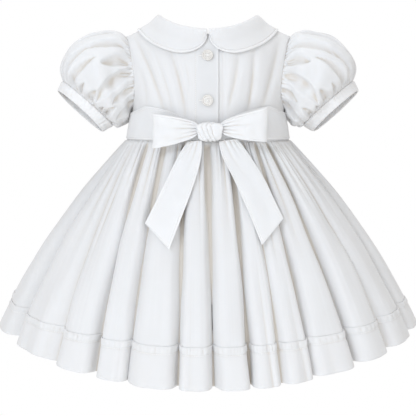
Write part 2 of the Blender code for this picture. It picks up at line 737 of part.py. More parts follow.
def folded_rows(valleys, shares, fall_at, seam_trim):
    """Rows of points round one skirt piece, from its first valley to its last."""
    places = [
        (valley, following, phase)
        for valley, following in zip(valleys, valleys[1:])
        for phase in FOLD_PHASES
    ]
    places.append((valleys[-2], valleys[-1], 1.0))
    rows = []
    for share in shares:
        line = []
        for valley, following, phase in places:
            hem_girth = blend(valley.hem_girth, following.hem_girth, phase)
            line.append(skirt_point(valley, following, phase, fall_at(share, hem_girth)))
        line[0] = line[0].lerp(line[1], seam_trim)
        line[-1] = line[-1].lerp(line[-2], seam_trim)
        rows.append(line)
    return rows


def build_skirt():
    """Back and front skirt, and the deep hem below each."""
    full_turn = Valley(BACK_VALLEYS[0].waist_girth + 360, BACK_VALLEYS[0].hem_girth + 360,
                       BACK_VALLEYS[0].depth, BACK_VALLEYS[0].ridge, BACK_VALLEYS[0].sway)
    pieces = {
        "back": BACK_VALLEYS + FRONT_VALLEYS[:1],
        "front": FRONT_VALLEYS + (full_turn,),
    }
    for name, valleys in pieces.items():
        cloth = folded_rows(valleys, SKIRT_SHARES, skirt_fall, SKIRT_SEAM_TRIM)
        band = folded_rows(valleys, (0, 1), hem_fall, HEM_SEAM_TRIM)
        add_sheet(f"skirt_{name}", cloth, PANEL_WALL)
        add_sheet(f"hem_{name}", band, HEM_WALL)


# ---------------------------------------------------------------- buttons

def button_mesh():
    """A dished disc with a rim, turned about Z, its back on z = 0."""
    profile = (
        (0, 0),
        (BUTTON_RADIUS - BUTTON_ROUNDING, 0),
        (BUTTON_RADIUS, BUTTON_ROUNDING),
        (BUTTON_RADIUS, BUTTON_THICKNESS - BUTTON_ROUNDING),
        (BUTTON_RADIUS - BUTTON_ROUNDING, BUTTON_THICKNESS),
        (BUTTON_RADIUS - BUTTON_RIM, BUTTON_THICKNESS),
        (BUTTON_RADIUS - 2 * BUTTON_RIM, BUTTON_THICKNESS - BUTTON_DISH),
        (0, BUTTON_THICKNESS - BUTTON_DISH),
    )
    shape = bmesh.new()
    corners = [shape.verts.new((out, 0, up)) for out, up in profile]
    edges = [shape.edges.new(pair) for pair in zip(corners, corners[1:])]
    bmesh.ops.spin(shape, geom=corners + edges, cent=(0, 0, 0), axis=(0, 0, 1),
                   angle=2 * pi, steps=BUTTON_SIDES, use_duplicate=False)
    bmesh.ops.remove_doubles(shape, verts=shape.verts, dist=BUTTON_MERGE)
    bmesh.ops.recalc_face_normals(shape, faces=shape.faces)
    mesh = bpy.data.meshes.new("button")
    shape.to_mesh(mesh)
    shape.free()
    return mesh


def build_hole_cutter():
    """Four thin pins through a button, as the thread holes."""
    shape = bmesh.new()
    for across in (-1, 1):
        for up in (-1, 1):
            place = Matrix.Translation((across * BUTTON_HOLE_OFFSET, up * BUTTON_HOLE_OFFSET,
                                        0.5 * BUTTON_THICKNESS))
            bmesh.ops.create_cone(shape, cap_ends=True, segments=BUTTON_HOLE_SIDES,
                                  radius1=BUTTON_HOLE_RADIUS, radius2=BUTTON_HOLE_RADIUS,
                                  depth=3 * BUTTON_THICKNESS, matrix=place)
    mesh = bpy.data.meshes.new("button_hole_cutter")
    shape.to_mesh(mesh)
    shape.free()
    cutter = bpy.data.objects.new("button_hole_cutter", mesh)
    bpy.context.scene.collection.objects.link(cutter)
    cutter.hide_render = True
    cutter.display_type = "WIRE"
    return cutter


def build_buttons():
    """Two buttons on the placket, each drilled by its own cutter."""
    for name, height in BUTTON_HEIGHTS.items():
        drop = drop_at(0, height)
        girth = girth_at(BUTTON_OUT, drop)
        surface = torso_point(girth, drop)
        outward = (torso_lifted(girth, drop, 1) - surface).normalized()
        stand = surface + outward * (0.5 * PANEL_WALL + SEAM_GAP)
        turned = outward.to_track_quat("Z", "Y")
        piece = add_object(f"button_{name}", button_mesh(), material(f"pearl_{name}", WHITE_PEARL, 0.25))
        cutter = build_hole_cutter()
        for item in (piece, cutter):
            item.rotation_mode = "QUATERNION"
            item.rotation_quaternion = turned
            item.location = stand
        holes = piece.modifiers.new("thread_holes", "BOOLEAN")
        holes.operation = "DIFFERENCE"
        holes.object = cutter
        piece.data.shade_smooth()
        piece.data.set_sharp_from_angle(angle=radians(35))


def build_dress():
    for item in list(bpy.data.objects):
        bpy.data.objects.remove(item, do_unlink=True)
    build_back_panels()
    build_front_panel()
    build_collar("collar_left", -1)
    build_collar("collar_right", 1)
    build_sleeve("left", -1)
    build_sleeve("right", 1)
    for side_name, loop in BOW_LOOPS.items():
        build_sash(side_name, loop)
        build_loop(side_name, loop)
    build_knot()
    for side_name, (side, table) in BOW_TAILS.items():
        build_tail(side_name, side, table)
    build_skirt()
    build_buttons()


build_dress()
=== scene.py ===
# %% [markdown]
# # A toddler's party dress in white cotton
# This script dresses a finished CAD model. The model already holds the garment's true
# size and shape as 22 plain solids, and here each one gets the cloth that a person would
# see: panels with soft folds, a gathered skirt, puffed sleeves, a bow and pearly buttons.
# Everything is in metres with +Z up. The buttoned back faces -Y.

# %% Load the frame
from collections import namedtuple
from math import cos, pi, radians, sin

import bmesh
import bpy
import numpy as np
from mathutils import Matrix, Vector


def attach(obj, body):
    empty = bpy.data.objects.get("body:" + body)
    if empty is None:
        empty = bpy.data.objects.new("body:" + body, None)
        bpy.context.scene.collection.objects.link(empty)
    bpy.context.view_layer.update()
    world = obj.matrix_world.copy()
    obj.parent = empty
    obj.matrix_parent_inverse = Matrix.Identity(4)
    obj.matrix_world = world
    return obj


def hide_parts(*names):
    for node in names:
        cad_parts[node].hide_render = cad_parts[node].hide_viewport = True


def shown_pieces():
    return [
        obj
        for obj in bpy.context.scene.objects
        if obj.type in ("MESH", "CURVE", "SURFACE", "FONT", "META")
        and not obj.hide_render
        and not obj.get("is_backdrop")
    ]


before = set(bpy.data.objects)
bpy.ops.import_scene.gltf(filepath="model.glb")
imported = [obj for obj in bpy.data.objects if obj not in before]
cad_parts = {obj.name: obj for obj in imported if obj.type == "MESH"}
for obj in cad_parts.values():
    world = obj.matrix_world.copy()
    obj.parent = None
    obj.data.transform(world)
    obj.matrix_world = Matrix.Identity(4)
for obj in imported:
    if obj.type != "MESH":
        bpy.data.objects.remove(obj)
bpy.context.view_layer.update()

MM = 0.001

# %% [markdown]
# ## The tools of the trade
# Cloth is a surface before it is a solid. So each panel starts as a grid: rows run along
# the panel, columns across it, and numpy moves whole rows of points at once. The helpers
# below take a table written in millimetres, read a smooth curve out of it, and find which
# way a grid faces.

# %% Tables and smooth curves
def in_mm(kind, *rows, columns=None):
    """Rows of a table, with the named columns, or else all of them, written in millimetres."""
    lengths = columns.split() if columns else kind._fields
    units = [MM if field in lengths else 1 for field in kind._fields]
    return tuple(kind(*(value * unit for value, unit in zip(row, units))) for row in rows)


def blend(start, end, share):
    return start + (end - start) * share


def ease(share):
    """0 to 1 with a soft start and a soft stop."""
    share = np.clip(share, 0, 1)
    return share * share * (3 - 2 * share)


def smooth_read(rows, key, field, place):
    """Read a column of a table as one smooth curve over another column."""
    keys = np.array([getattr(row, key) for row in rows])
    values = np.array([getattr(row, field) for row in rows])
    order = np.arange(len(keys))
    before = np.maximum(order - 1, 0)
    after = np.minimum(order + 1, len(keys) - 1)
    slopes = (values[after] - values[before]) / (keys[after] - keys[before])
    place = np.clip(place, keys[0], keys[-1])
    index = np.clip(np.searchsorted(keys, place, side="right") - 1, 0, len(keys) - 2)
    span = keys[index + 1] - keys[index]
    share = (place - keys[index]) / span
    start_weight = 2 * share**3 - 3 * share**2 + 1
    start_slope = (share**3 - 2 * share**2 + share) * span * slopes[index]
    end_slope = (share**3 - share**2) * span * slopes[index + 1]
    return (start_weight * values[index] + (1 - start_weight) * values[index + 1]
            + start_slope + end_slope)


def smooth_rows(rows, count):
    """Equal steps of a smooth curve through a few points, or a surface through a few rows."""
    rows = np.asarray(rows, float)
    last = len(rows) - 1
    along = np.linspace(0, last, count)
    index = np.minimum(along.astype(int), last - 1)
    share = (along - index).reshape(-1, *([1] * (rows.ndim - 1)))
    before = rows[np.maximum(index - 1, 0)]
    start = rows[index]
    end = rows[index + 1]
    after = rows[np.minimum(index + 2, last)]
    return 0.5 * (2 * start + (end - before) * share
                  + (2 * before - 5 * start + 4 * end - after) * share**2
                  + (3 * start - before - 3 * end + after) * share**3)


def picked(rows, shares):
    """The smooth curve through a few rows, read at chosen shares of its length in rows."""
    dense = smooth_rows(rows, 1200)
    place = np.asarray(shares) * (len(dense) - 1)
    index = np.minimum(place.astype(int), len(dense) - 2)
    share = (place - index).reshape(-1, *([1] * (dense.ndim - 1)))
    return blend(dense[index], dense[index + 1], share)


def crowded_steps(count, crowd, band):
    """Steps from 0 to 1, with crowd of them inside a band at each end, for stitched edges."""
    ends = np.linspace(0, band, crowd)
    middle = np.linspace(band, 1 - band, count - 2 * crowd + 2)[1:-1]
    return np.concatenate([ends, middle, 1 - ends[::-1]])


# %% Which way a grid faces
MIDDLE = (0, 0, -0.2)


def grid_normals(points, around=False):
    """Unit normals of a grid of points, rows by columns."""
    if around:
        across = np.roll(points, -1, 1) - np.roll(points, 1, 1)
    else:
        across = np.gradient(points, axis=1)
    normals = np.cross(across, np.gradient(points, axis=0))
    length = np.linalg.norm(normals, axis=-1, keepdims=True)
    return normals / np.maximum(length, 1e-12)


def outward_normals(points, centre=MIDDLE, around=False):
    """The grid's normals, turned so that they point away from the centre."""
    normals = grid_normals(points, around)
    return normals if (normals * (points - np.asarray(centre))).sum() > 0 else -normals


def pushed(points, amount, centre=MIDDLE, around=False):
    """The grid with each point moved away from the centre, along its own normal."""
    return points + outward_normals(points, centre, around) * np.asarray(amount)[..., None]


# %% [markdown]
# ## Folds as grooves
# Gathers, puckers and creases are all the same thing at different sizes: a soft groove
# that starts at a seam, follows the cloth and dies away. A groove here is a bell curve
# across the cloth, times a fade along it. Each set of grooves is drawn from one seeded
# random source, so the dress comes out the same each time.

# %% Grooves
Groove = namedtuple("Groove", "place width depth start end drift")


def scattered_grooves(seed, count, first, last, width, depth, start, end, drift=0.0, loose=0.32):
    """Grooves spaced unevenly from first to last; the pairs are the least and the most."""
    source = np.random.default_rng(seed)
    step = (last - first) / count
    places = first + step * (np.arange(count) + 0.5 + source.uniform(-loose, loose, count))
    return [
        Groove(place, source.uniform(*width), source.uniform(*depth), source.uniform(*start),
               source.uniform(*end), source.uniform(-drift, drift))
        for place in places
    ]


def groove_depth(grooves, across, along, turn=None, growth=0.0):
    """Total depth of the grooves at each place. turn is a full turn of across, on a tube."""
    total = np.zeros(np.broadcast(across, along).shape)
    for groove in grooves:
        away = across - groove.place - groove.drift * along
        if turn:
            away = (away + turn / 2) % turn - turn / 2
        width = groove.width * (1 + growth * along)
        length = groove.end - groove.start
        fade = 1 - ease((along - groove.start) / length)
        total = total + groove.depth * fade * np.exp(-(away / width) ** 2)
    return total


Leaf = namedtuple("Leaf", "place half_width depth start length drift")


def scattered_leaves(seed, count, half_width, depth, start, length, drift):
    """Leaf-shaped hollows spaced unevenly round a full turn; the pairs are the least and the most."""
    source = np.random.default_rng(seed)
    step = 360 / count
    return [
        Leaf(step * (number + source.uniform(-0.28, 0.28)), source.uniform(*half_width),
             source.uniform(*depth), source.uniform(*start), source.uniform(*length),
             source.uniform(-drift, drift))
        for number in range(count)
    ]


def leaf_depth(leaves, across, along):
    """Depth of the deepest hollow at each place, so that a crisp ridge stays between two."""
    total = np.zeros(np.broadcast(across, along).shape)
    for leaf in leaves:
        way = np.clip((along - leaf.start) / leaf.length, 0, 1)
        spread = np.maximum(np.sin(pi * way**0.7), 0) ** 0.6
        away = (across - leaf.place - leaf.drift * along + 180) % 360 - 180
        inside = 1 - (away / (leaf.half_width * spread + 0.05)) ** 2
        total = np.maximum(total, leaf.depth * spread**0.6 * np.clip(inside, 0, 1) ** 0.75)
    return total


def unevenness(seed, across, along, size, count=9, reach=(0.5, 2.2)):
    """A slow, shallow wander of the cloth, from a few crossing waves."""
    source = np.random.default_rng(seed)
    total = 0
    for _ in range(count):
        pace = source.uniform(*reach) * 2 * pi
        heading = source.uniform(0, pi)
        phase = source.uniform(0, 2 * pi)
        total = total + np.sin(pace * (across * cos(heading) + along * sin(heading)) + phase)
    return size * total / count**0.5


# %% [markdown]
# ## White cotton
# Plain white cotton is a close weave of warp and weft threads with a dry, soft surface.
# The weave is drawn on each panel's own UV map, which is laid out in metres, so the
# threads keep their size and follow the cloth round every fold. Slow noise stands for
# slubs and for the slightly uneven white that washed cotton has. Each panel also carries an
# attribute called crest, 0 in creases and 1 along crests, and a ramp paints shade into the
# white by it: creases are painted darker and warmer, as light that bounces about in a crease
# comes out, and crests a little lighter, a painted highlight. Each part's cotton is also
# painted lighter or darker as a whole, to even out how much light reaches it, so the sash
# and the cuffs are painted whiter and the skirt greyer.

# %% Small helpers for materials
def add_node(tree, kind, values=None, **settings):
    """A new node with its settings made and the values of its sockets set."""
    node = tree.nodes.new(kind)
    for name, value in settings.items():
        setattr(node, name, value)
    set_sockets(node, values or {})
    return node


def set_sockets(node, values):
    for socket, value in values.items():
        node.inputs[socket].default_value = value


def link(tree, start, output, end, socket):
    tree.links.new(start.outputs[output], end.inputs[socket])


def new_finish(name, values):
    """A material with its shader's sockets set, and its tree and shader."""
    made = bpy.data.materials.new(name)
    made.use_nodes = True
    shader = made.node_tree.nodes["Principled BSDF"]
    set_sockets(shader, values)
    return made, made.node_tree, shader


# %% A cotton material for each use
WARM_WHITE = (0.830, 0.822, 0.812, 1)
SHADE_WHITE = (0.795, 0.783, 0.768, 1)
# Painted shade: the crease end of this ramp darkens and warms the white, and the crest end lightens it a
# little, a painted highlight.
CrestPaintedShade = namedtuple("CrestPaintedShade", "crest red green blue")
CREST_PAINTED_SHADE = (
    CrestPaintedShade(0.0, 0.85, 0.79, 0.71),
    CrestPaintedShade(0.1, 0.935, 0.91, 0.88),
    CrestPaintedShade(0.3, 0.97, 0.965, 0.955),
    CrestPaintedShade(0.5, 0.98, 0.98, 0.98),
    CrestPaintedShade(1.0, 1.0, 1.0, 1.0),
)
# Painted light levels: each part's white is scaled up or down so that parts the lamps reach less, such as
# the sash and the cuffs, look as bright as the rest, and the well-lit skirt less bright.
PAINTED_LIGHT_LEVELS = {
    "bodice_cotton": 0.90, "collar_cotton": 0.92, "sleeve_cotton": 0.94, "band_cotton": 0.98,
    "sash_cotton": 0.96, "skirt_cotton": 0.87, "hem_cotton": 0.87,
}
THREAD_PITCH = 0.55 * MM
WEAVE_HEIGHT = 0.035 * MM
SLUB_HEIGHT = 0.12 * MM
COTTON_SHEEN = {
    "Roughness": 0.84, "Specular IOR Level": 0.3, "Sheen Weight": 0.30, "Sheen Roughness": 0.5,
    "Subsurface Weight": 0.35, "Subsurface Radius": (1.0, 0.92, 0.85), "Subsurface Scale": 3 * MM,
}


def cotton(name, painted_light_level):
    """Woven white cotton, with its threads along and across the panel."""
    made, tree, shader = new_finish(name, COTTON_SHEEN)
    made.diffuse_color = WARM_WHITE
    uv = add_node(tree, "ShaderNodeUVMap", uv_map="UVMap")
    place = add_node(tree, "ShaderNodeTexCoord")
    weave = add_node(tree, "ShaderNodeMath", operation="MAXIMUM")
    for number, direction in enumerate("XY"):
        thread = add_node(tree, "ShaderNodeTexWave", {
            "Scale": 2 * pi / (20 * THREAD_PITCH), "Distortion": 1.2, "Detail": 1,
        }, wave_type="BANDS", bands_direction=direction)
        link(tree, uv, "UV", thread, "Vector")
        link(tree, thread, "Fac", weave, number)
    slubs = add_node(tree, "ShaderNodeTexNoise", {"Scale": 210, "Detail": 3})
    tone = add_node(tree, "ShaderNodeTexNoise", {"Scale": 24, "Detail": 4})
    for noise in (slubs, tone):
        link(tree, place, "Object", noise, "Vector")

    shade = add_node(tree, "ShaderNodeMath", {1: 0.35}, operation="MULTIPLY_ADD")
    link(tree, weave, 0, shade, 0)
    link(tree, tone, "Fac", shade, 2)
    colour = add_node(tree, "ShaderNodeMix", {"A": SHADE_WHITE, "B": WARM_WHITE}, data_type="RGBA")
    link(tree, shade, 0, colour, "Factor")
    # Painted shade: the crest attribute darkens and warms the white in creases and lightens it along crests,
    # and the whole ramp is scaled by the part's painted light level.
    crest = add_node(tree, "ShaderNodeAttribute", attribute_name="crest")
    painted_shade_ramp = add_node(tree, "ShaderNodeValToRGB")
    for row in CREST_PAINTED_SHADE[1:-1]:
        painted_shade_ramp.color_ramp.elements.new(row.crest)
    for stop, row in zip(painted_shade_ramp.color_ramp.elements, CREST_PAINTED_SHADE):
        stop.position = row.crest
        stop.color = [painted_light_level * part for part in row[1:]] + [1]
    link(tree, crest, "Fac", painted_shade_ramp, "Fac")
    painted_shade_mix = add_node(tree, "ShaderNodeMix", {"Factor": 1}, data_type="RGBA", blend_type="MULTIPLY")
    link(tree, colour, "Result", painted_shade_mix, "A")
    link(tree, painted_shade_ramp, "Color", painted_shade_mix, "B")
    link(tree, painted_shade_mix, "Result", shader, "Base Color")

    weave_bump = add_node(tree, "ShaderNodeBump", {"Strength": 0.5, "Distance": WEAVE_HEIGHT})
    slub_bump = add_node(tree, "ShaderNodeBump", {"Strength": 0.35, "Distance": SLUB_HEIGHT})
    link(tree, weave, 0, weave_bump, "Height")
    link(tree, slubs, "Fac", slub_bump, "Height")
    link(tree, weave_bump, "Normal", slub_bump, "Normal")
    link(tree, slub_bump, "Normal", shader, "Normal")
    return made


FINISHES = {use: cotton(f"{use}_finish", painted_light_level) for use, painted_light_level in PAINTED_LIGHT_LEVELS.items()}
print("finishes:", ", ".join(sorted(FINISHES)))

# %% [markdown]
# ## From grid to cloth
# A grid primitive is added by operator, its points take their worked-out places, and a
# Solidify modifier gives the cloth its thickness. A folded edge is round and not square,
# so a few extra lines are set close to each edge, and a vertex group tells Solidify to
# thin the wall there in a quarter circle. Each panel ends as one closed wall, and its
# grid still knows where each point was, which later lets a stitch find its place.

# %% Make one panel of cloth
SHEETS = {}


def deselect_all():
    if bpy.context.object and bpy.context.object.mode != "OBJECT":
        bpy.ops.object.mode_set(mode="OBJECT")
    bpy.ops.object.select_all(action="DESELECT")


def finish_piece(piece, node):
    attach(piece, "root")
    if node:
        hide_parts(*([node] if isinstance(node, str) else node))


RIM_SHARES = np.array([0.0, 0.1, 0.4])
RIM_WALLS = (0.30, 0.55, 0.85)
Crease = namedtuple("Crease", "reach depth")
CREASES = (Crease(1.8 * MM, 0.65 * MM), Crease(5.5 * MM, 2.8 * MM))
WRAP_COLUMNS = 16


def with_edge_lines(points, wall):
    """Extra rows close to the first and last row, for the rounded edge."""
    reach = 0.5 * wall
    for _ in range(2):
        step = points[1] - points[0]
        length = np.linalg.norm(step[..., :3], axis=-1, keepdims=True)
        unit = step * np.minimum(reach / np.maximum(length, 1e-9), 0.9)
        points = np.concatenate([points[0] + unit * RIM_SHARES[:, None, None], points[1:]])[::-1]
    return points


def standing_out(points, outward, reach):
    """How far each point stands beyond the middle of the two points a reach away on its row."""
    result = np.zeros(points.shape[:2])
    for row, places in enumerate(points):
        walked = np.append(0, np.cumsum(np.linalg.norm(np.diff(places, axis=0), axis=-1)))
        span = np.minimum(reach, np.minimum(walked, walked[-1] - walked))
        for axis in range(3):
            middle = 0.5 * (np.interp(walked - span, walked, places[:, axis])
                            + np.interp(walked + span, walked, places[:, axis]))
            result[row] += (places[:, axis] - middle) * outward[row, :, axis]
    return result


def crest_shares(points, outward, around):
    """0 at the bottom of a crease, a half where the cloth is smooth and 1 along a crest."""
    wrap = WRAP_COLUMNS if around else 0
    columns = np.arange(-wrap, points.shape[1] + wrap) % points.shape[1]
    total = 0
    for crease in CREASES:
        along = standing_out(points[:, columns], outward[:, columns], crease.reach)
        down = standing_out(points.swapaxes(0, 1), outward.swapaxes(0, 1), crease.reach).T
        total = total + (along[:, wrap:wrap + points.shape[1]] + down) / crease.depth
    return 0.5 + 0.5 * np.tanh(total)


def length_shares(points, axis):
    """Share of the mean way along the grid at each of its lines, from 0 to 1."""
    steps = np.linalg.norm(np.diff(points, axis=axis), axis=-1).mean(axis=1 - axis)
    return np.append(0, np.cumsum(steps)) / steps.sum()


def make_cloth(name, points, wall, node, use, flat,
               around=False, centre=MIDDLE):
    """One panel from its grid of points: wall thick, with rounded edges."""
    outward = outward_normals(points, centre, around)
    faces_out = (outward * grid_normals(points, around)).sum() > 0
    drawn = np.concatenate([points, crest_shares(points, outward, around)[..., None]], axis=-1)
    drawn = drawn if faces_out else drawn[:, ::-1]
    drawn = with_edge_lines(drawn, wall)
    if around:
        drawn = np.concatenate([drawn, drawn[:, :1]], axis=1)
    else:
        drawn = with_edge_lines(drawn.swapaxes(0, 1), wall).swapaxes(0, 1)
    rows, columns = drawn.shape[:2]
    deselect_all()
    bpy.ops.mesh.primitive_grid_add(x_subdivisions=columns - 1, y_subdivisions=rows - 1, size=1)
    piece = bpy.context.object
    piece.name = name
    piece.data.name = name
    mesh = piece.data
    mesh.vertices.foreach_set("co", np.ascontiguousarray(drawn[..., :3], np.float32).ravel())
    # crest measures creases and crests; the cotton uses it for painted crease shade and painted crest
    # highlights.
    crest = mesh.attributes.new("crest", "FLOAT", "POINT")
    crest.data.foreach_set("value", np.ascontiguousarray(drawn[..., 3], np.float32).ravel())
    corner = np.zeros(len(mesh.loops), np.int32)
    mesh.loops.foreach_get("vertex_index", corner)
    layout = np.stack([length_shares(drawn[..., :3], 1)[corner % columns] * flat[0],
                       length_shares(drawn[..., :3], 0)[corner // columns] * flat[1]], -1)
    mesh.uv_layers[0].name = "UVMap"
    mesh.uv_layers[0].data.foreach_set("uv", layout.astype(np.float32).ravel())
    corner = np.arange(rows * columns)
    from_edge_line = np.minimum(corner // columns, rows - 1 - corner // columns)
    if not around:
        across = corner % columns
        from_edge_line = np.minimum(from_edge_line, np.minimum(across, columns - 1 - across))
    thickness = piece.vertex_groups.new(name="wall_share")
    thickness.add(corner[from_edge_line >= len(RIM_WALLS)].tolist(), 1.0, "REPLACE")
    for line, share in enumerate(RIM_WALLS):
        thickness.add(corner[from_edge_line == line].tolist(), share, "REPLACE")
    if around:
        bpy.ops.object.mode_set(mode="EDIT")
        bpy.ops.mesh.select_all(action="SELECT")
        bpy.ops.mesh.remove_doubles(threshold=0.002 * MM)
        bpy.ops.object.mode_set(mode="OBJECT")
    cloth = piece.modifiers.new("cloth_wall", "SOLIDIFY")
    cloth.thickness = wall
    cloth.offset = 0
    cloth.vertex_group = thickness.name
    bpy.ops.object.modifier_apply(modifier=cloth.name)
    piece.vertex_groups.clear()
    bpy.ops.object.shade_smooth()
    mesh.materials.append(FINISHES[use])
    finish_piece(piece, node)
    SHEETS[name] = (points, outward, wall)
    print(f"{name}: {2 * len(mesh.polygons)} triangles or so, cut {flat[0]:.3f} x {flat[1]:.3f} m")
    return piece

# %% [markdown]
# ## The torso under the panels
# The bodice panels, the collar and the sash all lie on one smooth torso surface. Two
# numbers place a point on it: the girth angle, in degrees from the centre back towards
# +X, and the drop, the way down the cloth from the shoulder line. Drawing in those two
# numbers is like drawing on the flat pattern.

# %% The torso surface
SEAM_GAP = 0.3 * MM
NECK_HALF_WIDTH = 60 * MM
NECK_POINT_HEIGHT = -6 * MM
SHOULDER_SLOPE = 0.465
SHOULDER_HALF_WIDTH = 104 * MM
CROWN_DROP = 65 * MM
CROWN_LENGTH = 98 * MM
PANEL_LENGTH = 188 * MM
TORSO_SQUARENESS = 2.4
WAIST_HEIGHT = -154 * MM
WAIST_TILT = 5 * MM
SIDE_SEAM_GIRTH = 79
BACK_NECK_DROP = 60 * MM
FRONT_NECK_DROP = 90 * MM

TorsoSection = namedtuple("TorsoSection", "height half_width back_depth front_depth")
TORSO_SECTIONS = in_mm(
    TorsoSection,
    (-160, 104.5, 80, 80), (-130, 99.5, 80, 79), (-112, 96.8, 79, 78), (-90, 99, 78, 76),
    (-60, 104, 75, 70), (-30, 108, 71, 64), (10, 111, 68, 60),
)


def shoulder_height(out):
    """Height of the shoulder line, carried on smoothly over the neck opening."""
    sloped = NECK_POINT_HEIGHT - SHOULDER_SLOPE * (out - NECK_HALF_WIDTH)
    rise = SHOULDER_SLOPE * (NECK_HALF_WIDTH**2 - out**2) / (2 * NECK_HALF_WIDTH)
    return np.where(out >= NECK_HALF_WIDTH, sloped, NECK_POINT_HEIGHT + rise)


def girth_shares(girth, squareness=TORSO_SQUARENESS):
    """Shares of the half width and of the half depth at a girth angle."""
    angle = np.radians(girth)
    across = np.sign(np.sin(angle)) * np.abs(np.sin(angle)) ** (2 / squareness)
    back = np.sign(np.cos(angle)) * np.abs(np.cos(angle)) ** (2 / squareness)
    return across, back


def torso(girth, drop):
    girth, drop = np.broadcast_arrays(np.asarray(girth, float), np.asarray(drop, float))
    across, back = girth_shares(girth)
    crown_top = shoulder_height(SHOULDER_HALF_WIDTH * np.abs(across))
    waist = WAIST_HEIGHT + WAIST_TILT * back
    turn = 0.5 * pi * np.minimum(drop / CROWN_LENGTH, 1)
    share = (drop - CROWN_LENGTH) / (PANEL_LENGTH - CROWN_LENGTH)
    straight_part = blend(crown_top - CROWN_DROP, waist, share)
    height = np.where(share > 0, straight_part, crown_top - CROWN_DROP * (1 - np.cos(turn)))
    half_width = smooth_read(TORSO_SECTIONS, "height", "half_width", height)
    half_depth = np.where(back > 0, smooth_read(TORSO_SECTIONS, "height", "back_depth", height),
                          smooth_read(TORSO_SECTIONS, "height", "front_depth", height))
    return np.stack([half_width * across, -half_depth * back * np.sin(turn), height], -1)


def torso_lifted(girth, drop, lift):
    """A torso point moved out from the cloth by lift."""
    step = 0.6
    reach = 0.8 * MM
    around = torso(girth + step, drop) - torso(girth - step, drop)
    down = torso(girth, drop + reach) - torso(girth, np.maximum(drop - reach, 0))
    outward = np.cross(down, around)
    outward /= np.linalg.norm(outward, axis=-1, keepdims=True)
    return torso(girth, drop) + outward * np.asarray(lift)[..., None]


def girth_at(out, drop):
    """Girth angle on the back where the cloth is a distance out from the middle."""
    out, drop = np.broadcast_arrays(np.asarray(out, float), np.asarray(drop, float))
    half_width = NECK_HALF_WIDTH * 1.8
    for _ in range(4):
        share = np.minimum(np.abs(out) / half_width, 1)
        girth = np.degrees(np.arcsin(share ** (TORSO_SQUARENESS / 2)))
        half_width = smooth_read(TORSO_SECTIONS, "height", "half_width", torso(girth, drop)[..., 2])
    return np.sign(out) * girth


def drop_at(girth, height):
    """Way down the cloth to a height, at a girth angle."""
    across, back = girth_shares(girth)
    crown_top = shoulder_height(SHOULDER_HALF_WIDTH * np.abs(across))
    fall = crown_top - height
    curved = CROWN_LENGTH * np.arccos(np.clip(1 - fall / CROWN_DROP, -1, 1)) / (0.5 * pi)
    waist = WAIST_HEIGHT + WAIST_TILT * back
    share = (fall - CROWN_DROP) / (crown_top - CROWN_DROP - waist)
    return np.where(fall < CROWN_DROP, curved, blend(CROWN_LENGTH, PANEL_LENGTH, share))


def neck_place(turn, across=0.0):
    """Girth and drop at a turn round the neck (0 centre back, 180 centre front)."""
    turn, across = np.broadcast_arrays(np.asarray(turn, float), np.asarray(across, float))
    angle = np.radians(turn)
    neck_drop = np.where(np.cos(angle) > 0, BACK_NECK_DROP, FRONT_NECK_DROP)
    sideways = np.sin(angle) / NECK_HALF_WIDTH
    downward = np.abs(np.cos(angle)) / neck_drop
    length = np.hypot(sideways, downward)
    out = NECK_HALF_WIDTH * np.sin(angle) + across * sideways / length
    drop = np.maximum(neck_drop * np.abs(np.cos(angle)) + across * downward / length, 0.4 * MM)
    girth = girth_at(out, drop)
    return np.where(np.cos(angle) > 0, girth, 180 - girth), drop


# %% Edges of the bodice panels
ArmholePoint = namedtuple("ArmholePoint", "girth drop")
ARMHOLE = in_mm(
    ArmholePoint, (73, 0.4), (65.5, 32), (62, 62), (61.8, 84), (64.6, 104), (70, 120),
    (SIDE_SEAM_GIRTH, 129), (92, 131), (104, 124), (114, 106), (118, 84), (118, 60), (114.5, 32),
    (107, 0.4), columns="drop",
)


def armhole_places(back_steps, front_steps):
    """Girth and drop along the armhole, back part and front part."""
    back = [row for row in ARMHOLE if row.girth <= SIDE_SEAM_GIRTH]
    front = ARMHOLE[len(back) - 1:]
    return smooth_rows(back, back_steps), smooth_rows(front, front_steps)


def straight(start, end, count):
    return np.linspace(np.asarray(start, float), np.asarray(end, float), count)


TOP_BEND_FADE = np.array([4, 2])


def fill_panel(left, right, bottom, top):
    """Girth and drop over a panel between four edges. The top edge's bend fades fast going down."""
    up = np.linspace(0, 1, len(left))[:, None, None]
    across = np.linspace(0, 1, len(bottom))[:, None]
    bottom_bend = bottom - blend(bottom[0], bottom[-1], across)
    top_bend = top - blend(top[0], top[-1], across)
    return (blend(left[:, None], right[:, None], across) + bottom_bend * (1 - up)
            + top_bend * up**TOP_BEND_FADE)


# %% [markdown]
# ## Bodice
# The bodice is two back panels and a front that wraps round to both side seams. On the
# body it shows long, shallow folds that fall from the collar and the armhole, and a flat
# stitched strip round each armhole where the sleeve's seam is pressed under. Moving the
# grid's points out and in by small amounts gives both, and keeps the placket's edge crisp.

# %% Soft folds and the armhole strip
SoftFold = namedtuple("SoftFold", "top_out top_height foot_out foot_height width depth")
BACK_FOLDS = in_mm(
    SoftFold,
    (-88, -31, -55, -112, 5.5, 3.6), (-45, -44, -28, -118, 4.8, 3.4), (-64, -46, -44, -114, 3.6, 1.2),
    (-26, -60, -20, -116, 3.4, 1.3), (-84, -62, -76, -104, 4.0, 1.6), (20, -56, 19, -96, 2.8, 1.4),
    (37, -46, 24, -108, 4.6, 2.8), (57, -44, 49, -112, 4.2, 3.2), (88, -36, 68, -108, 5.2, 3.6),
)
FRONT_FOLDS = in_mm(
    SoftFold,
    (-74, -50, -58, -140, 6.5, 2.2), (-44, -74, -36, -150, 5.5, 2.0), (-12, -94, -10, -152, 6.0, 1.6),
    (22, -92, 19, -150, 5.5, 1.8), (52, -70, 44, -148, 5.5, 2.0), (78, -48, 62, -140, 6.5, 2.2),
)
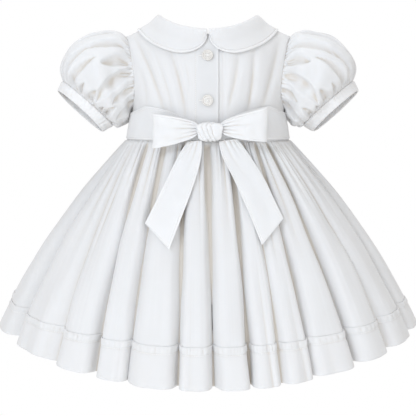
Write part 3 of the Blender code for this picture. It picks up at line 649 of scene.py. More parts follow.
ARMHOLE_STRIP = 5 * MM


def soft_fold_depth(folds, points):
    """Depth of the long folds of a panel, by place across and height."""
    out, height = points[..., 0], points[..., 2]
    total = np.zeros(out.shape)
    for fold in folds:
        down = (fold.top_height - height) / (fold.top_height - fold.foot_height)
        middle = blend(fold.top_out, fold.foot_out, down) + 2 * MM * np.sin(3 * down)
        fade = np.clip(np.sin(pi * np.clip(0.16 + 0.74 * down, 0, 1)), 0, 1) ** 0.8
        total += fold.depth * fade * np.exp(-((out - middle) / fold.width) ** 2)
    return total


def from_edge(points, edge_points):
    """Distance from each point of a grid to the nearest of the points along an edge."""
    flat = points.reshape(-1, 3)
    nearest = np.full(len(flat), np.inf)
    for start in range(0, len(flat), 4000):
        part = flat[start:start + 4000, None] - edge_points[None]
        nearest[start:start + 4000] = np.sqrt((part**2).sum(-1)).min(1)
    return nearest.reshape(points.shape[:2])


def strip_relief(away, strip, raise_by, groove=0.35 * MM, line_width=0.6 * MM):
    """A pressed strip along an edge: raised, with a shallow groove at its stitching."""
    raised = raise_by * (1 - ease((away - strip) / (1.5 * line_width)))
    line = groove * np.exp(-((away - strip + 1.6 * line_width) / line_width) ** 2)
    return raised - line


def armhole_strip(points, edge_points):
    """The pressed strip round the armhole."""
    return strip_relief(from_edge(points, edge_points), ARMHOLE_STRIP, 0.5 * MM, 0.55 * MM, 0.8 * MM)


# %% Back panels
PANEL_WALL = 1.0 * MM
LEFT_LAP = 13 * MM
RIGHT_LAP = 14 * MM
LAP_TOP = 5 * MM
LAP_ROUNDING = 13 * MM
UNDERLAP_DEPTH = 1.9 * MM
PLACKET_LINE = -15 * MM
SIDE_ROWS, ARMHOLE_ROWS = 24, 56
NECK_COLUMNS, SHOULDER_COLUMNS = 78, 26


def back_panel(lap, lap_top):
    """Girth and drop over a back panel, drawn on the +X side, from its placket edge out."""
    back_armhole, _ = armhole_places(ARMHOLE_ROWS + 1, 2)
    foot = (SIDE_SEAM_GIRTH, PANEL_LENGTH)
    side = np.concatenate([straight(foot, back_armhole[-1], SIDE_ROWS + 1)[:-1], back_armhole[::-1]])
    first_turn = -np.degrees(np.arcsin(lap_top / NECK_HALF_WIDTH))
    neck = np.stack(neck_place(np.linspace(first_turn, 89, NECK_COLUMNS)), -1)
    shoulder = straight(neck[-1], back_armhole[0], SHOULDER_COLUMNS + 1)[1:]
    top = np.concatenate([neck, shoulder])
    drops = np.linspace(PANEL_LENGTH, neck[0][1], len(side))
    rounding = np.clip((drops - neck[0][1]) / LAP_ROUNDING, 0, 1)
    edge_out = blend(lap_top, lap, np.sqrt(1 - (1 - rounding) ** 2))
    placket = np.stack([girth_at(-edge_out, drops), drops], -1)
    outs = np.linspace(-lap, torso(SIDE_SEAM_GIRTH, PANEL_LENGTH)[0], len(top))
    bottom = np.stack([girth_at(outs, np.full(len(outs), PANEL_LENGTH)),
                       np.full(len(outs), PANEL_LENGTH)], -1)
    return fill_panel(placket, side, bottom, top)


for side_name, side, lap, lap_top in (("left", -1, LEFT_LAP, LAP_TOP),
                                      ("right", 1, RIGHT_LAP, RIGHT_LAP)):
    place = back_panel(lap, lap_top)
    girth, drop = place[..., 0] * side, place[..., 1]
    flat_points = torso(girth, drop)
    armhole_edge = flat_points[SIDE_ROWS:, -1]
    relief = armhole_strip(flat_points, armhole_edge)
    off_placket = ease((np.abs(flat_points[..., 0]) - 18 * MM) / (10 * MM))
    relief -= soft_fold_depth(BACK_FOLDS, flat_points) * off_placket
    relief += unevenness(31 + side, flat_points[..., 0] * 14, flat_points[..., 2] * 8, 0.5 * MM)
    if side > 0:
        out_of_lap = ease((flat_points[..., 0] - RIGHT_LAP - 3 * MM) / (6 * MM))
        relief = relief * out_of_lap - UNDERLAP_DEPTH * (1 - out_of_lap)
    else:
        inside = (13 * MM - flat_points[..., 0]) / MM
        relief += 0.25 * MM * np.exp(-((inside - 1.2) / 1.3) ** 2)
        relief -= 0.55 * MM * np.exp(-((flat_points[..., 0] - PLACKET_LINE) / (0.9 * MM)) ** 2)
    points = torso_lifted(girth, drop, relief)
    make_cloth(f"back_panel_{side_name}", points, PANEL_WALL, f"bodice_back_{side_name}",
               "bodice_cotton", flat=(0.125, 0.190))

# %% [markdown]
# The front wraps round to both side seams, and its armholes reach lower at the sides than
# its rows would run if they went straight across. So each row dips just inside the side
# seam and then runs level, and higher rows take on the neckline's shape bit by bit. Without
# the dip the rows would cross, and the cloth would lie folded over on itself.

# %% Front panel
FRONT_ROWS = 20, 50
FRONT_NECK_COLUMNS = 84
FRONT_DIP = 0.24

_, front_armhole = armhole_places(2, FRONT_ROWS[1] + 1)
seam_girth = SIDE_SEAM_GIRTH + 0.4
front_side = np.concatenate([
    straight((seam_girth, PANEL_LENGTH), (seam_girth, front_armhole[0][1]), FRONT_ROWS[0] + 1),
    front_armhole[1:],
])
far_side = np.stack([360 - front_side[:, 0], front_side[:, 1]], -1)
neck_turns = np.linspace(91, 269, FRONT_NECK_COLUMNS)
folded_turns = np.where(neck_turns <= 180, neck_turns, 360 - neck_turns)
neck_girth, neck_drops = neck_place(folded_turns)
front_neck = np.stack([np.where(neck_turns <= 180, neck_girth, 360 - neck_girth), neck_drops], -1)
front_top = np.concatenate([
    straight(front_side[-1], front_neck[0], SHOULDER_COLUMNS)[:-1], front_neck,
    straight(front_neck[-1], far_side[-1], SHOULDER_COLUMNS)[1:],
])
up = np.linspace(0, 1, len(front_side))[:, None]
across = np.linspace(0, 1, len(front_top))
from_side = 1 - np.abs(2 * across - 1)
dip = 1 - (1 - np.minimum(from_side / FRONT_DIP, 1)) ** 2
neck_shape = (front_top[:, 1] - front_top[0, 1]) / np.ptp(front_top[:, 1])
level = blend(PANEL_LENGTH, front_top[:, 1].max(), up)
drop = blend(front_side[:, 1:], level, blend(dip, neck_shape, up**2))
neck_turn = front_top[:, 0] - blend(front_top[0, 0], front_top[-1, 0], across)
girth = blend(front_side[:, :1], far_side[:, :1], across) + neck_turn * up**3
flat_points = torso(girth, drop)
edges = np.concatenate([flat_points[FRONT_ROWS[0]:, 0], flat_points[FRONT_ROWS[0]:, -1]])
relief = armhole_strip(flat_points, edges)
relief -= soft_fold_depth(FRONT_FOLDS, flat_points)
relief += unevenness(77, flat_points[..., 0] * 14, flat_points[..., 2] * 8, 0.5 * MM)
points = torso_lifted(girth, drop, relief)
make_cloth("front_panel", points, PANEL_WALL,
           "bodice_front", "bodice_cotton", flat=(0.275, 0.190))

# %% [markdown]
# ## Round collar
# A flat round collar is cut as two pieces, sewn face to face and turned, so its rim is a
# plump rolled edge with a faint line of understitching inside it. It stands a few
# millimetres at the neck seam, rolls over and lies on the shoulders. The profile below is
# that roll, and the same profile is carried round the neck on the torso surface.

# %% Collar halves
COLLAR_WALL = 1.6 * MM
COLLAR_WIDTH = 28 * MM
COLLAR_END_GAP = 1.4 * MM
COLLAR_END_ROUND = 34 * MM
COLLAR_END_EDGE = 3 * MM
COLLAR_COLUMNS = 166
COLLAR_STEPS = np.concatenate([np.linspace(0, 0.86, 26), np.linspace(0.86, 1, 26)[1:]])
CollarRow = namedtuple("CollarRow", "across lift")
COLLAR_ROWS = (
    *in_mm(CollarRow, (-2.4, -1.0), (-3.2, 3.4), (-0.8, 7.8), (5.0, 6.4), (14.0, 3.2)),
    CollarRow(COLLAR_WIDTH, 2.4 * MM),
)


def collar_points(seed):
    """Half a collar, drawn on the +X side, from its neck seam to its rim."""
    profile = picked(COLLAR_ROWS, COLLAR_STEPS)
    step = np.linspace(0, 1, COLLAR_COLUMNS)
    step = step - 0.80 * np.sin(2 * pi * step) / (2 * pi)
    end_turn = np.degrees(COLLAR_END_GAP / NECK_HALF_WIDTH)
    turn = blend(end_turn, 180 - end_turn, step)[None]
    from_end = np.minimum(turn - end_turn, 180 - end_turn - turn)
    along = np.radians(from_end) * (NECK_HALF_WIDTH + 0.5 * COLLAR_WIDTH)
    into_round = np.maximum(1 - along / COLLAR_END_ROUND, 0)
    width = blend(COLLAR_END_EDGE, COLLAR_WIDTH, np.sqrt(1 - into_round**2))
    across, lift = profile[:, :1], profile[:, 1:]
    across = np.where(across < 0, across, across * width / COLLAR_WIDTH)
    girth, drop = neck_place(turn, across)
    from_rim = width - across
    relief = 0.75 * MM * np.exp(-((from_rim - 1.1 * MM) / (1.1 * MM)) ** 2)
    relief = relief - 0.60 * MM * np.exp(-((from_rim - 3.0 * MM) / (0.65 * MM)) ** 2)
    rim_puckers = scattered_grooves(seed, 46, 2, 178, (0.5, 0.9), (0.2 * MM, 0.6 * MM),
                                    (-0.1, 0), (0.8, 1.6), drift=1.2)
    neck_puckers = scattered_grooves(seed + 1, 40, 2, 178, (0.6, 1.1), (0.15 * MM, 0.5 * MM),
                                     (-0.1, 0), (0.7, 1.5), drift=1.5)
    relief = relief - groove_depth(rim_puckers, turn, from_rim / (8 * MM))
    relief = relief - groove_depth(neck_puckers, turn, np.maximum(across + 1 * MM, 0) / (9 * MM))
    relief = relief + unevenness(seed + 2, turn / 60 + 0 * across, across * 22, 0.35 * MM)
    inner = ease((across + 3.2 * MM) / (3 * MM))
    return torso_lifted(girth, drop, lift + relief * inner)


for side_name, side, seed in (("left", -1, 11), ("right", 1, 15)):
    points = collar_points(seed) * np.array([side, 1, 1])
    make_cloth(f"round_collar_{side_name}", points, COLLAR_WALL, f"collar_{side_name}",
               "collar_cotton", flat=(0.180, 0.100))

# %% [markdown]
# ## Puffed sleeves
# A puffed sleeve is a wide curved piece gathered into the armhole above and into a narrow
# cuff band below, so its fullness stands out between two tight seams. The folds tell that
# story: many fine gathers at each seam, and fewer, deeper, petal-like hollows that run on
# from them and fade before they meet. On the back the hollows are listed in the two tables
# below, and on the front they are scattered. The tube is drawn through a few
# rings, then folded.

# %% Sleeve tube
SleeveSection = namedtuple("SleeveSection", "out height depth lean tilt half_tall half_deep")
SECTION_LENGTHS = "out height depth half_tall half_deep"
SLEEVE_SECTIONS = in_mm(
    SleeveSection,
    (106, -71, -2, 8, 0, 50.5, 47),
    (117.5, -74, -3, 14, 2, 55.5, 53.5),
    (131, -79, -4, 22, 4, 57.5, 58),
    (143.5, -88, -5, 32, 6, 55.5, 57),
    (151.5, -98, -6, 42, 8, 50.5, 49.5),
    (153.2, -107, -6, 48.5, 10, 42, 35),
    columns=SECTION_LENGTHS,
)
SLEEVE_MIDDLE = np.array([130 * MM, 0, -85 * MM])
CUFF_MOUTH = in_mm(SleeveSection, (163.3, -117.8, -8, 47.5, 13, 37.5, 31), columns=SECTION_LENGTHS)[0]
SLEEVE_MIDDLE_DEPTH = -2 * MM
SLEEVE_MIDDLE_HEIGHT = -70 * MM
SLEEVE_WALL = 0.9 * MM
CUFF_WALL = 1.8 * MM
Tuck = namedtuple("Tuck", "under lift")
RING_BACK, RING_FRONT = 136, 124
SLEEVE_LINES, BAND_LINES = 68, 11


def sleeve_ring(section, turns, along=0.0):
    """Points of a section at turns in degrees from its top towards the back."""
    lean, tilt = radians(section.lean), radians(section.tilt)
    axis = np.array([cos(lean) * cos(tilt), -sin(tilt), -sin(lean) * cos(tilt)])
    upward = np.array([sin(lean), 0, cos(lean)])
    backward = np.cross(axis, upward)
    centre = np.array([section.out, section.depth, section.height])
    angle = np.radians(turns)[:, None]
    return (centre + axis * along + upward * section.half_tall * np.cos(angle)
            + backward * section.half_deep * np.sin(angle))


TUCKS = in_mm(Tuck, (1.6, -0.78), (0.5, -0.76), (-0.3, -0.50), (-0.8, 0.10))
CUFF_TUCKS = in_mm(Tuck, (0.1, -1.2), (0.7, -1.65), (1.8, -1.7))
ARMHOLE_HOLLOWS = in_mm(
    Leaf, (15, 7.0, 4.5, 0.22, 0.45, 0), (41, 9.0, 7.0, 0.05, 0.62, -3), (67, 9.5, 7.5, 0.02, 0.44, 0),
    (89, 9.5, 8.5, 0.01, 0.76, 22), (113, 7.0, 6.5, 0.00, 0.48, 12), (134, 8.5, 8.0, 0.00, 0.72, 14),
    (160, 7.0, 6.0, 0.00, 0.50, 6), columns="depth",
)
CUFF_HOLLOWS = in_mm(
    Leaf, (12, 5.5, 4.0, 0.00, 0.36, 0), (32, 6.0, 5.5, 0.01, 0.56, 8), (55, 7.5, 7.0, 0.01, 0.52, 12),
    (76, 5.0, 4.5, 0.00, 0.26, 4), (95, 7.0, 6.0, 0.00, 0.38, 0), (114, 5.0, 5.0, 0.00, 0.24, 0),
    (132, 7.0, 6.5, 0.00, 0.52, -8), (153, 6.0, 5.5, 0.00, 0.40, 0), columns="depth",
)


def wavered(hollows, seed):
    """The same hollows, each a little moved and resized, so that the two sleeves differ."""
    source = np.random.default_rng(seed)
    return [
        leaf._replace(place=leaf.place + source.uniform(-3, 3),
                      depth=leaf.depth * source.uniform(0.85, 1.15),
                      length=leaf.length * source.uniform(0.85, 1.15))
        for leaf in hollows
    ]


def on_the_front(hollows):
    """The hollows past the listed ones, whose places run from 0 to 160 degrees."""
    return [leaf for leaf in hollows if leaf.place > 172]


def armhole_rings():
    """The rings where the sleeve comes out from under the panels' edge, and their turns."""
    back, front = armhole_places(RING_BACK, RING_FRONT)
    places = np.concatenate([back[:-1], front[:-1]])
    rim = torso(places[:, 0], places[:, 1])
    backward = (SLEEVE_MIDDLE_DEPTH - rim[:, 1]) / SLEEVE_SECTIONS[0].half_deep
    upward = (rim[:, 2] - SLEEVE_MIDDLE_HEIGHT) / SLEEVE_SECTIONS[0].half_tall
    turns = np.degrees(np.arctan2(backward, upward)) % 360
    outward = torso_lifted(places[:, 0], places[:, 1], np.ones(len(places))) - rim
    into_panel = (rim - np.array([0, SLEEVE_MIDDLE_DEPTH, SLEEVE_MIDDLE_HEIGHT])) * np.array([0, 1, 1])
    into_panel -= outward * (into_panel * outward).sum(1, keepdims=True)
    into_panel /= np.linalg.norm(into_panel, axis=1, keepdims=True)
    return [rim + into_panel * tuck.under + outward * tuck.lift for tuck in TUCKS], turns


def sleeve_points(seed):
    tucked, turns = armhole_rings()
    rings = [tucked[-1]] + [sleeve_ring(section, turns) for section in SLEEVE_SECTIONS]
    tube = smooth_rows(rings, SLEEVE_LINES)
    down = np.linspace(0, 1, SLEEVE_LINES)[:, None]
    turn = turns[None]
    head = 0.35 + 0.65 * ease((np.cos(np.radians(turn)) + 0.8) / 1.0)
    fine = scattered_grooves(seed, 66, 0, 360, (1.3, 2.1), (1.8 * MM, 3.4 * MM),
                             (-0.02, 0.03), (0.10, 0.26), drift=8)
    petals = wavered(ARMHOLE_HOLLOWS, seed + 8) + on_the_front(
        scattered_leaves(seed + 1, 19, (6.0, 9.5), (4.5 * MM, 7.5 * MM), (0.0, 0.05), (0.45, 1.00), 10))
    low_petals = wavered(CUFF_HOLLOWS, seed + 9) + on_the_front(
        scattered_leaves(seed + 2, 22, (5.0, 8.0), (4.0 * MM, 6.5 * MM), (0.0, 0.05), (0.34, 0.70), 14))
    low_fine = scattered_grooves(seed + 3, 62, 0, 360, (1.3, 2.2), (1.8 * MM, 3.2 * MM),
                                 (-0.02, 0.02), (0.10, 0.26), drift=8)
    relief = -head * groove_depth(fine, turn, down, turn=360, growth=0.6)
    relief -= np.maximum(head * leaf_depth(petals, turn, down), leaf_depth(low_petals, turn, 1 - down))
    relief -= groove_depth(low_fine, turn, 1 - down, turn=360, growth=0.6)
    relief += 3.6 * MM * np.sin(pi * down) ** 0.7
    relief += unevenness(seed + 4, turn / 70, down * 1.6, 1.3 * MM) * np.sin(pi * down)
    pinned = ease(down / 0.03) * ease((1 - down) / 0.03)
    tube = pushed(tube, relief * (0.25 + 0.75 * pinned), SLEEVE_MIDDLE, around=True)
    seam = SLEEVE_SECTIONS[-1]
    under_cuff = []
    for tuck in CUFF_TUCKS:
        ring = seam._replace(half_tall=seam.half_tall + tuck.lift, half_deep=seam.half_deep + tuck.lift)
        under_cuff.append(sleeve_ring(ring, turns, along=tuck.under))
    return np.concatenate([tucked[:-1], tube[:-1], under_cuff]), turns


for side_name, side, seed in (("left", -1, 41), ("right", 1, 61)):
    points, turns = sleeve_points(seed)
    mirror = np.array([side, 1, 1])
    centre = SLEEVE_MIDDLE * mirror
    make_cloth(f"puff_sleeve_{side_name}", points * mirror, SLEEVE_WALL, f"sleeve_{side_name}",
               "sleeve_cotton", flat=(0.330, 0.120), around=True,
               centre=centre)
    band_start = SEAM_GAP + 0.5 * CUFF_WALL
    top_ring = sleeve_ring(SLEEVE_SECTIONS[-1], turns, along=band_start)
    mouth_ring = sleeve_ring(CUFF_MOUTH, turns)
    band = np.linspace(top_ring, mouth_ring, BAND_LINES)
    across = np.linspace(0, 1, BAND_LINES)[:, None]
    puckers = scattered_grooves(seed + 6, 48, 0, 360, (1.3, 2.4), (0.25 * MM, 0.8 * MM),
                                (-0.1, 0), (0.6, 1.3), drift=5)
    relief = 0.6 * MM * np.sin(pi * across) ** 0.7 - groove_depth(puckers, turns[None], across, turn=360)
    relief -= 0.6 * groove_depth(puckers, turns[None] + 2.5, 1 - across, turn=360)
    relief += unevenness(seed + 7, np.cos(np.radians(turns[None])) * 2 + 0 * across, across, 0.3 * MM)
    band_middle = band.mean(axis=(0, 1))
    band = pushed(band, relief, band_middle, around=True) * mirror
    make_cloth(f"cuff_band_{side_name}", band, CUFF_WALL, f"cuff_{side_name}", "band_cotton",
               flat=(0.225, 0.0165), around=True,
               centre=band_middle * mirror)

# %% [markdown]
# ## Sash and bow
# The sash is sewn into the side seams and tied over the buttoned back. Near the knot it is
# drawn together, so shallow folds run into the knot from both sides. The loops are the
# same strip doubled back on itself, and the tails are its two free ends, cut on a slant.

# %% Sash halves
SASH_WALL = 1.0 * MM
SashEnd = namedtuple("SashEnd", "side knot_out")
SASH_ENDS = {"left": SashEnd(-1, 8 * MM), "right": SashEnd(1, 11 * MM)}
SASH_COLUMNS = 76
SASH_STEPS = crowded_steps(54, 18, 0.15)
SASH_STRIP = 3.4 * MM
SASH_FOLDS = in_mm(
    Groove, (0.20, 0.055, 0.9, 0.0, 0.42, 0.05), (0.42, 0.05, 1.2, 0.0, 0.5, 0.02),
    (0.63, 0.055, 1.0, 0.0, 0.38, -0.04), (0.83, 0.05, 0.9, 0.0, 0.5, -0.08), columns="depth",
)


def sash_points(end, seed):
    """Half the sash from the side seam to under the knot, drawn on the +X side."""
    inward = np.linspace(0, 1, SASH_COLUMNS)[None]
    up = SASH_STEPS[:, None]
    side_out = torso(SIDE_SEAM_GIRTH - 1, PANEL_LENGTH)[0]
    out = blend(side_out, end.knot_out, inward)
    girth = girth_at(out, PANEL_LENGTH)
    fall = np.maximum(1 - out / (90 * MM), 0) ** 2.2
    under_arm = np.maximum(out - 80 * MM, 0) * 0.55
    top = drop_at(girth, -107.5 * MM - 30 * MM * fall - under_arm)
    bottom = PANEL_LENGTH - 1.5 * MM
    drop = blend(bottom, top, up)
    lift = blend(2.3 * MM, 3.4 * MM, inward) - 1.4 * MM * ease((inward - 0.9) / 0.1)
    from_knot = 1 - inward + 0 * up
    relief = -groove_depth(SASH_FOLDS, up, from_knot)
    width = bottom - top
    for away in (up * width, (1 - up) * width):
        relief = relief + strip_relief(away, SASH_STRIP, 0.3 * MM, 0.45 * MM)
    relief = relief + unevenness(seed, inward * 2.2, up * 1.2, 0.28 * MM)
    return torso_lifted(girth * end.side, drop, lift + relief)


for side_name, end in SASH_ENDS.items():
    make_cloth(f"sash_band_{side_name}", sash_points(end, 91 + end.side), SASH_WALL,
               f"sash_{side_name}", "sash_cotton", flat=(0.105, 0.046))

# %% Bow loops
BowLoop = namedtuple("BowLoop", "side start end start_height end_height start_half end_half")
LEFT_LOOP, RIGHT_LOOP = in_mm(
    BowLoop, (-1, 12.0, 66.5, -133.6, -135.8, 4.0, 21.2), (1, 15.6, 71.5, -131.9, -128.2, 3.8, 20.9),
    columns="start end start_height end_height start_half end_half",
)
BOW_LOOPS = {"left": LEFT_LOOP, "right": RIGHT_LOOP}
LoopPoint = namedtuple("LoopPoint", "along depth")
LOOP_PLAN = in_mm(
    LoopPoint, (0.00, -93.4), (0.30, -97.0), (0.60, -98.0), (0.88, -95.5), (1.00, -90.5), (0.90, -86.4),
    (0.60, -85.6), (0.30, -86.1), (0.00, -87.6), columns="depth",
)
LOOP_LINES = 110
LOOP_STEPS = crowded_steps(62, 19, 0.13)
LOOP_FOLDS = in_mm(
    Groove, (0.16, 0.05, 2.4, 0.0, 0.65, 0.05), (0.36, 0.05, 3.0, 0.0, 0.55, -0.02),
    (0.56, 0.05, 2.8, 0.0, 0.85, 0.03), (0.78, 0.05, 2.6, 0.0, 0.60, -0.06),
    (0.91, 0.035, 1.6, 0.0, 0.8, 0.02), columns="depth",
)


def loop_points(loop, seed):
    plan = smooth_rows(LOOP_PLAN, LOOP_LINES)
    along = np.clip(plan[:, :1], 0, 1.0)
    up = LOOP_STEPS[None]
    out = blend(loop.start, loop.end, along)
    middle = blend(loop.start_height, loop.end_height, along)
    half = blend(loop.start_half, loop.end_half, np.sqrt(along))
    height = middle + half * (2 * up - 1)
    points = np.stack(np.broadcast_arrays(loop.side * out, plan[:, 1:], height), -1)
    relief = -groove_depth(LOOP_FOLDS, up, along, growth=0.5) * ease(along / 0.06)
    strip = 2 * half * np.minimum(up, 1 - up)
    relief = relief + strip_relief(strip, SASH_STRIP, 0.3 * MM, 0.45 * MM) * ease(along / 0.25)
    relief = relief + unevenness(seed, along * 1.6, up * 1.2, 0.5 * MM) * ease(along / 0.2)
    return pushed(points, relief, loop_middle(loop))


def loop_middle(loop):
    return np.array([loop.side * 45 * MM, -91 * MM, loop.end_height])


for side_name, loop in BOW_LOOPS.items():
    make_cloth(f"bow_wing_{side_name}", loop_points(loop, 105 + loop.side), SASH_WALL,
               f"bow_loop_{side_name}", "sash_cotton", flat=(0.045, 0.125),
               centre=loop_middle(loop))

# %% [markdown]
# The knot is a short length of the same strip, wrapped round the loops. Cloth that is
# pulled round a knot twists, so its creases run in slanted S shapes and not straight.

# %% Knot
KNOT_CENTRE = np.array([2 * MM, -92 * MM, -136.8 * MM])
KNOT_HALF_SIZE = np.array([14.6 * MM, 7.2 * MM, 10.8 * MM])
KNOT_COLUMNS, KNOT_LINES = 84, 50
KNOT_CREASES = in_mm(
    Groove, (-0.62, 0.09, 1.2, 0, 1, 0), (-0.22, 0.08, 1.7, 0, 1, 0), (0.16, 0.09, 1.9, 0, 1, 0),
    (0.52, 0.08, 1.5, 0, 1, 0), columns="depth",
)

turn = np.linspace(0, 2 * pi, KNOT_COLUMNS, endpoint=False)[None]
share = np.linspace(-1, 1, KNOT_LINES)[:, None]
squareness = 2 / 2.7
ring_out = np.sign(np.sin(turn)) * np.abs(np.sin(turn)) ** squareness
ring_up = np.sign(np.cos(turn)) * np.abs(np.cos(turn)) ** squareness
mouth = 1 - 0.34 * np.abs(share) ** 3
flare = 1 + 0.10 * ring_up
knot = np.stack(np.broadcast_arrays(share * KNOT_HALF_SIZE[0] * flare,
                                    -ring_out * KNOT_HALF_SIZE[1] * mouth,
                                    ring_up * KNOT_HALF_SIZE[2] * mouth), -1)
twist = share + 0.30 * np.sin(turn + 0.4) + 0.12 * np.sin(2 * turn)
relief = 0.7 * MM - groove_depth(KNOT_CREASES, twist, 0 * turn)
relief = relief + unevenness(5, share, np.cos(turn), 0.3 * MM)
knot = pushed(knot, relief, (0, 0, 0), around=True) + KNOT_CENTRE
make_cloth("knot_wrap", knot, SASH_WALL, "bow_knot", "sash_cotton", flat=(0.066, 0.034),
           around=True,
           centre=KNOT_CENTRE)

# %% [markdown]
# ## Skirt
# The skirt is a wide panel gathered into the waist and left to flare. A table of valleys
# holds its large folds: each runs from a place on the waist to a place on the hem, with
# broad ridges between. On top of those come the small gathers just under the waist seam,
# which merge and fade on the way down, as real gathers do.

# %% Large folds of the skirt
WAIST_HALF_WIDTH = 104.5 * MM
WAIST_HALF_DEPTH = 80 * MM
HEM_HALF_WIDTH = 266 * MM
HEM_HALF_DEPTH = 193 * MM
HEM_SIDE_HEIGHT = -391 * MM
HEM_MIDDLE_FALL = 37 * MM
SKIRT_BULGE = 0.36
HEM_SEAM_SIDE_FALL = 0.86
HEM_SEAM_MIDDLE_FALL = 0.825
FOLD_START = 0.10
FOLD_GROWTH = 0.58
VALLEY_SHARE = 1.2
VALLEY_SHARPNESS = 1.75
Valley = namedtuple("Valley", "waist_girth hem_girth depth ridge sway")
BACK_VALLEYS = in_mm(
    Valley, (-79, -66, 16, 7, 0), (-60, -44, 4, 8, -3), (-43, -31, 13, 7, 2), (-27, -21.6, 12, 9, 3),
    (-12, -7.6, 11, 8, -2), (0, 1.4, 12, 8, 2), (11, 11, 12, 8, 3), (20, 19, 3, 8, 2),
    (29, 28, 12, 7, 2), (40, 42, 14, 8, 3), (53, 56, 4, 7, 2), columns="depth ridge sway",
)
FRONT_VALLEYS = in_mm(
    Valley, (79, 73, 16, 7, 0), (96, 92, 12, 7, 2), (111, 107, 13, 8, -2), (125, 121, 5, 8, 3),
    (138, 135, 13, 8, 2), (152, 149, 12, 9, -3), (165, 163, 12, 8, 2), (178, 177, 5, 8, 2),
    (192, 191, 13, 8, -2), (206, 206, 12, 9, 3), (220, 221, 4, 8, 2), (235, 237, 13, 8, -2),
    (249, 253, 12, 7, 2), (264, 272, 13, 7, 0), columns="depth ridge sway",
)
FULL_TURN = BACK_VALLEYS[0]._replace(waist_girth=281, hem_girth=294)
VALLEYS = {"back": BACK_VALLEYS + FRONT_VALLEYS[:1], "front": FRONT_VALLEYS + (FULL_TURN,)}


def fold_size(fall):
    return FOLD_START + (1 - FOLD_START) * np.maximum(fall, 0) ** FOLD_GROWTH


def skirt_flare(fall):
    """Share of the flare reached at a share of the way down: the gathers push it out."""
    return fall + SKIRT_BULGE * fall * (1 - fall)


def fold_values(valleys, folds):
    """Values of the two valleys on each side of each place, and the phase between them."""
    index = np.minimum(folds.astype(int), len(valleys) - 2)
    table = np.array(valleys)
    return table[index], table[index + 1], folds - index


def hem_girths(valleys, folds):
    before, after, phase = fold_values(valleys, folds)
    return blend(before[..., 1], after[..., 1], phase)


def skirt_base(valleys, folds, fall):
    """Points of the skirt with its large folds only."""
    before, after, phase = fold_values(valleys, folds)
    across, back_share = girth_shares(blend(before[..., 0], after[..., 0], phase))
    angle = np.radians(blend(before[..., 1], after[..., 1], phase))
    flare = skirt_flare(fall)
    out = blend(WAIST_HALF_WIDTH * across, HEM_HALF_WIDTH * np.sin(angle), flare)
    back = blend(WAIST_HALF_DEPTH * back_share, HEM_HALF_DEPTH * np.cos(angle), flare)
    waist_height = WAIST_HEIGHT + WAIST_TILT * back_share - SEAM_GAP - 0.6 * MM
    height = blend(waist_height, HEM_SIDE_HEIGHT - HEM_MIDDLE_FALL * np.cos(angle) ** 2, fall)
    outward = np.stack([np.sin(angle) / HEM_HALF_WIDTH, -np.cos(angle) / HEM_HALF_DEPTH], -1)
    outward /= np.linalg.norm(outward, axis=-1, keepdims=True)
    depth = VALLEY_SHARE * np.where(phase < 0.5, before[..., 2], after[..., 2])
    crest = np.sin(pi * phase)
    push = before[..., 3] - (before[..., 3] + depth) * (1 - crest) ** VALLEY_SHARPNESS
    overhang = 0.24 * depth * np.sin(2 * pi * phase)
    size = fold_size(fall)
    sideways = (before[..., 4] * crest - overhang) * size * fall
    out = out + outward[..., 0] * push * size - outward[..., 1] * sideways
    depth_place = -back + outward[..., 1] * push * size + outward[..., 0] * sideways
    return np.stack(np.broadcast_arrays(out, depth_place, height), -1)


def hem_seam_fall(hem_girth):
    """Share of the way down where the deep hem is stitched."""
    return blend(HEM_SEAM_SIDE_FALL, HEM_SEAM_MIDDLE_FALL, np.cos(np.radians(hem_girth)) ** 2)


# %% [markdown]
# The deep hem is turned up inside and held by two rows of stitches, one at the fold and
# one below it. Between them the cloth is a little too full, so it puckers into a narrow
# bright strip. The same small gathers run through the skirt and the hem, so that the
# cloth looks like one piece across the seam. The skirt's upper end is tucked under the
# bodice, and its lower end passes under the hem, which lies on it a little proud. So a
# seam shows as a step in the cloth, and no slit opens between the pieces.

# %% Small gathers, and the strip at the hem seam
SKIRT_LENGTH = 265 * MM
HEM_STRIP = 8.5 * MM
SKIRT_LINES, HEM_LINES = 84, 28
SKIRT_TUCK_DEPTH = 1.0 * MM
SKIRT_WALL = 0.8 * MM
HEM_WALL = 1.1 * MM
HEM_PROUD = 0.85 * MM
HEM_FALL_BACK = 0.65 * MM
STRIP_BULGE = 0.7 * MM
SKIRT_TUCKS_ABOVE = np.array([[-0.0060], [-0.0025]])
SKIRT_TUCKS_BELOW = np.array([[-0.0040], [-0.0018], [-0.0004], [0.0016], [0.0060]])
SkirtPlan = namedtuple("SkirtPlan", "columns hem_columns width area hem_area seed")
SKIRT_PLANS = {
    "back": SkirtPlan(30, 44, 0.800, 0.150, 0.0380, 201),
    "front": SkirtPlan(18, 25, 1.060, 0.200, 0.0490, 221),
}


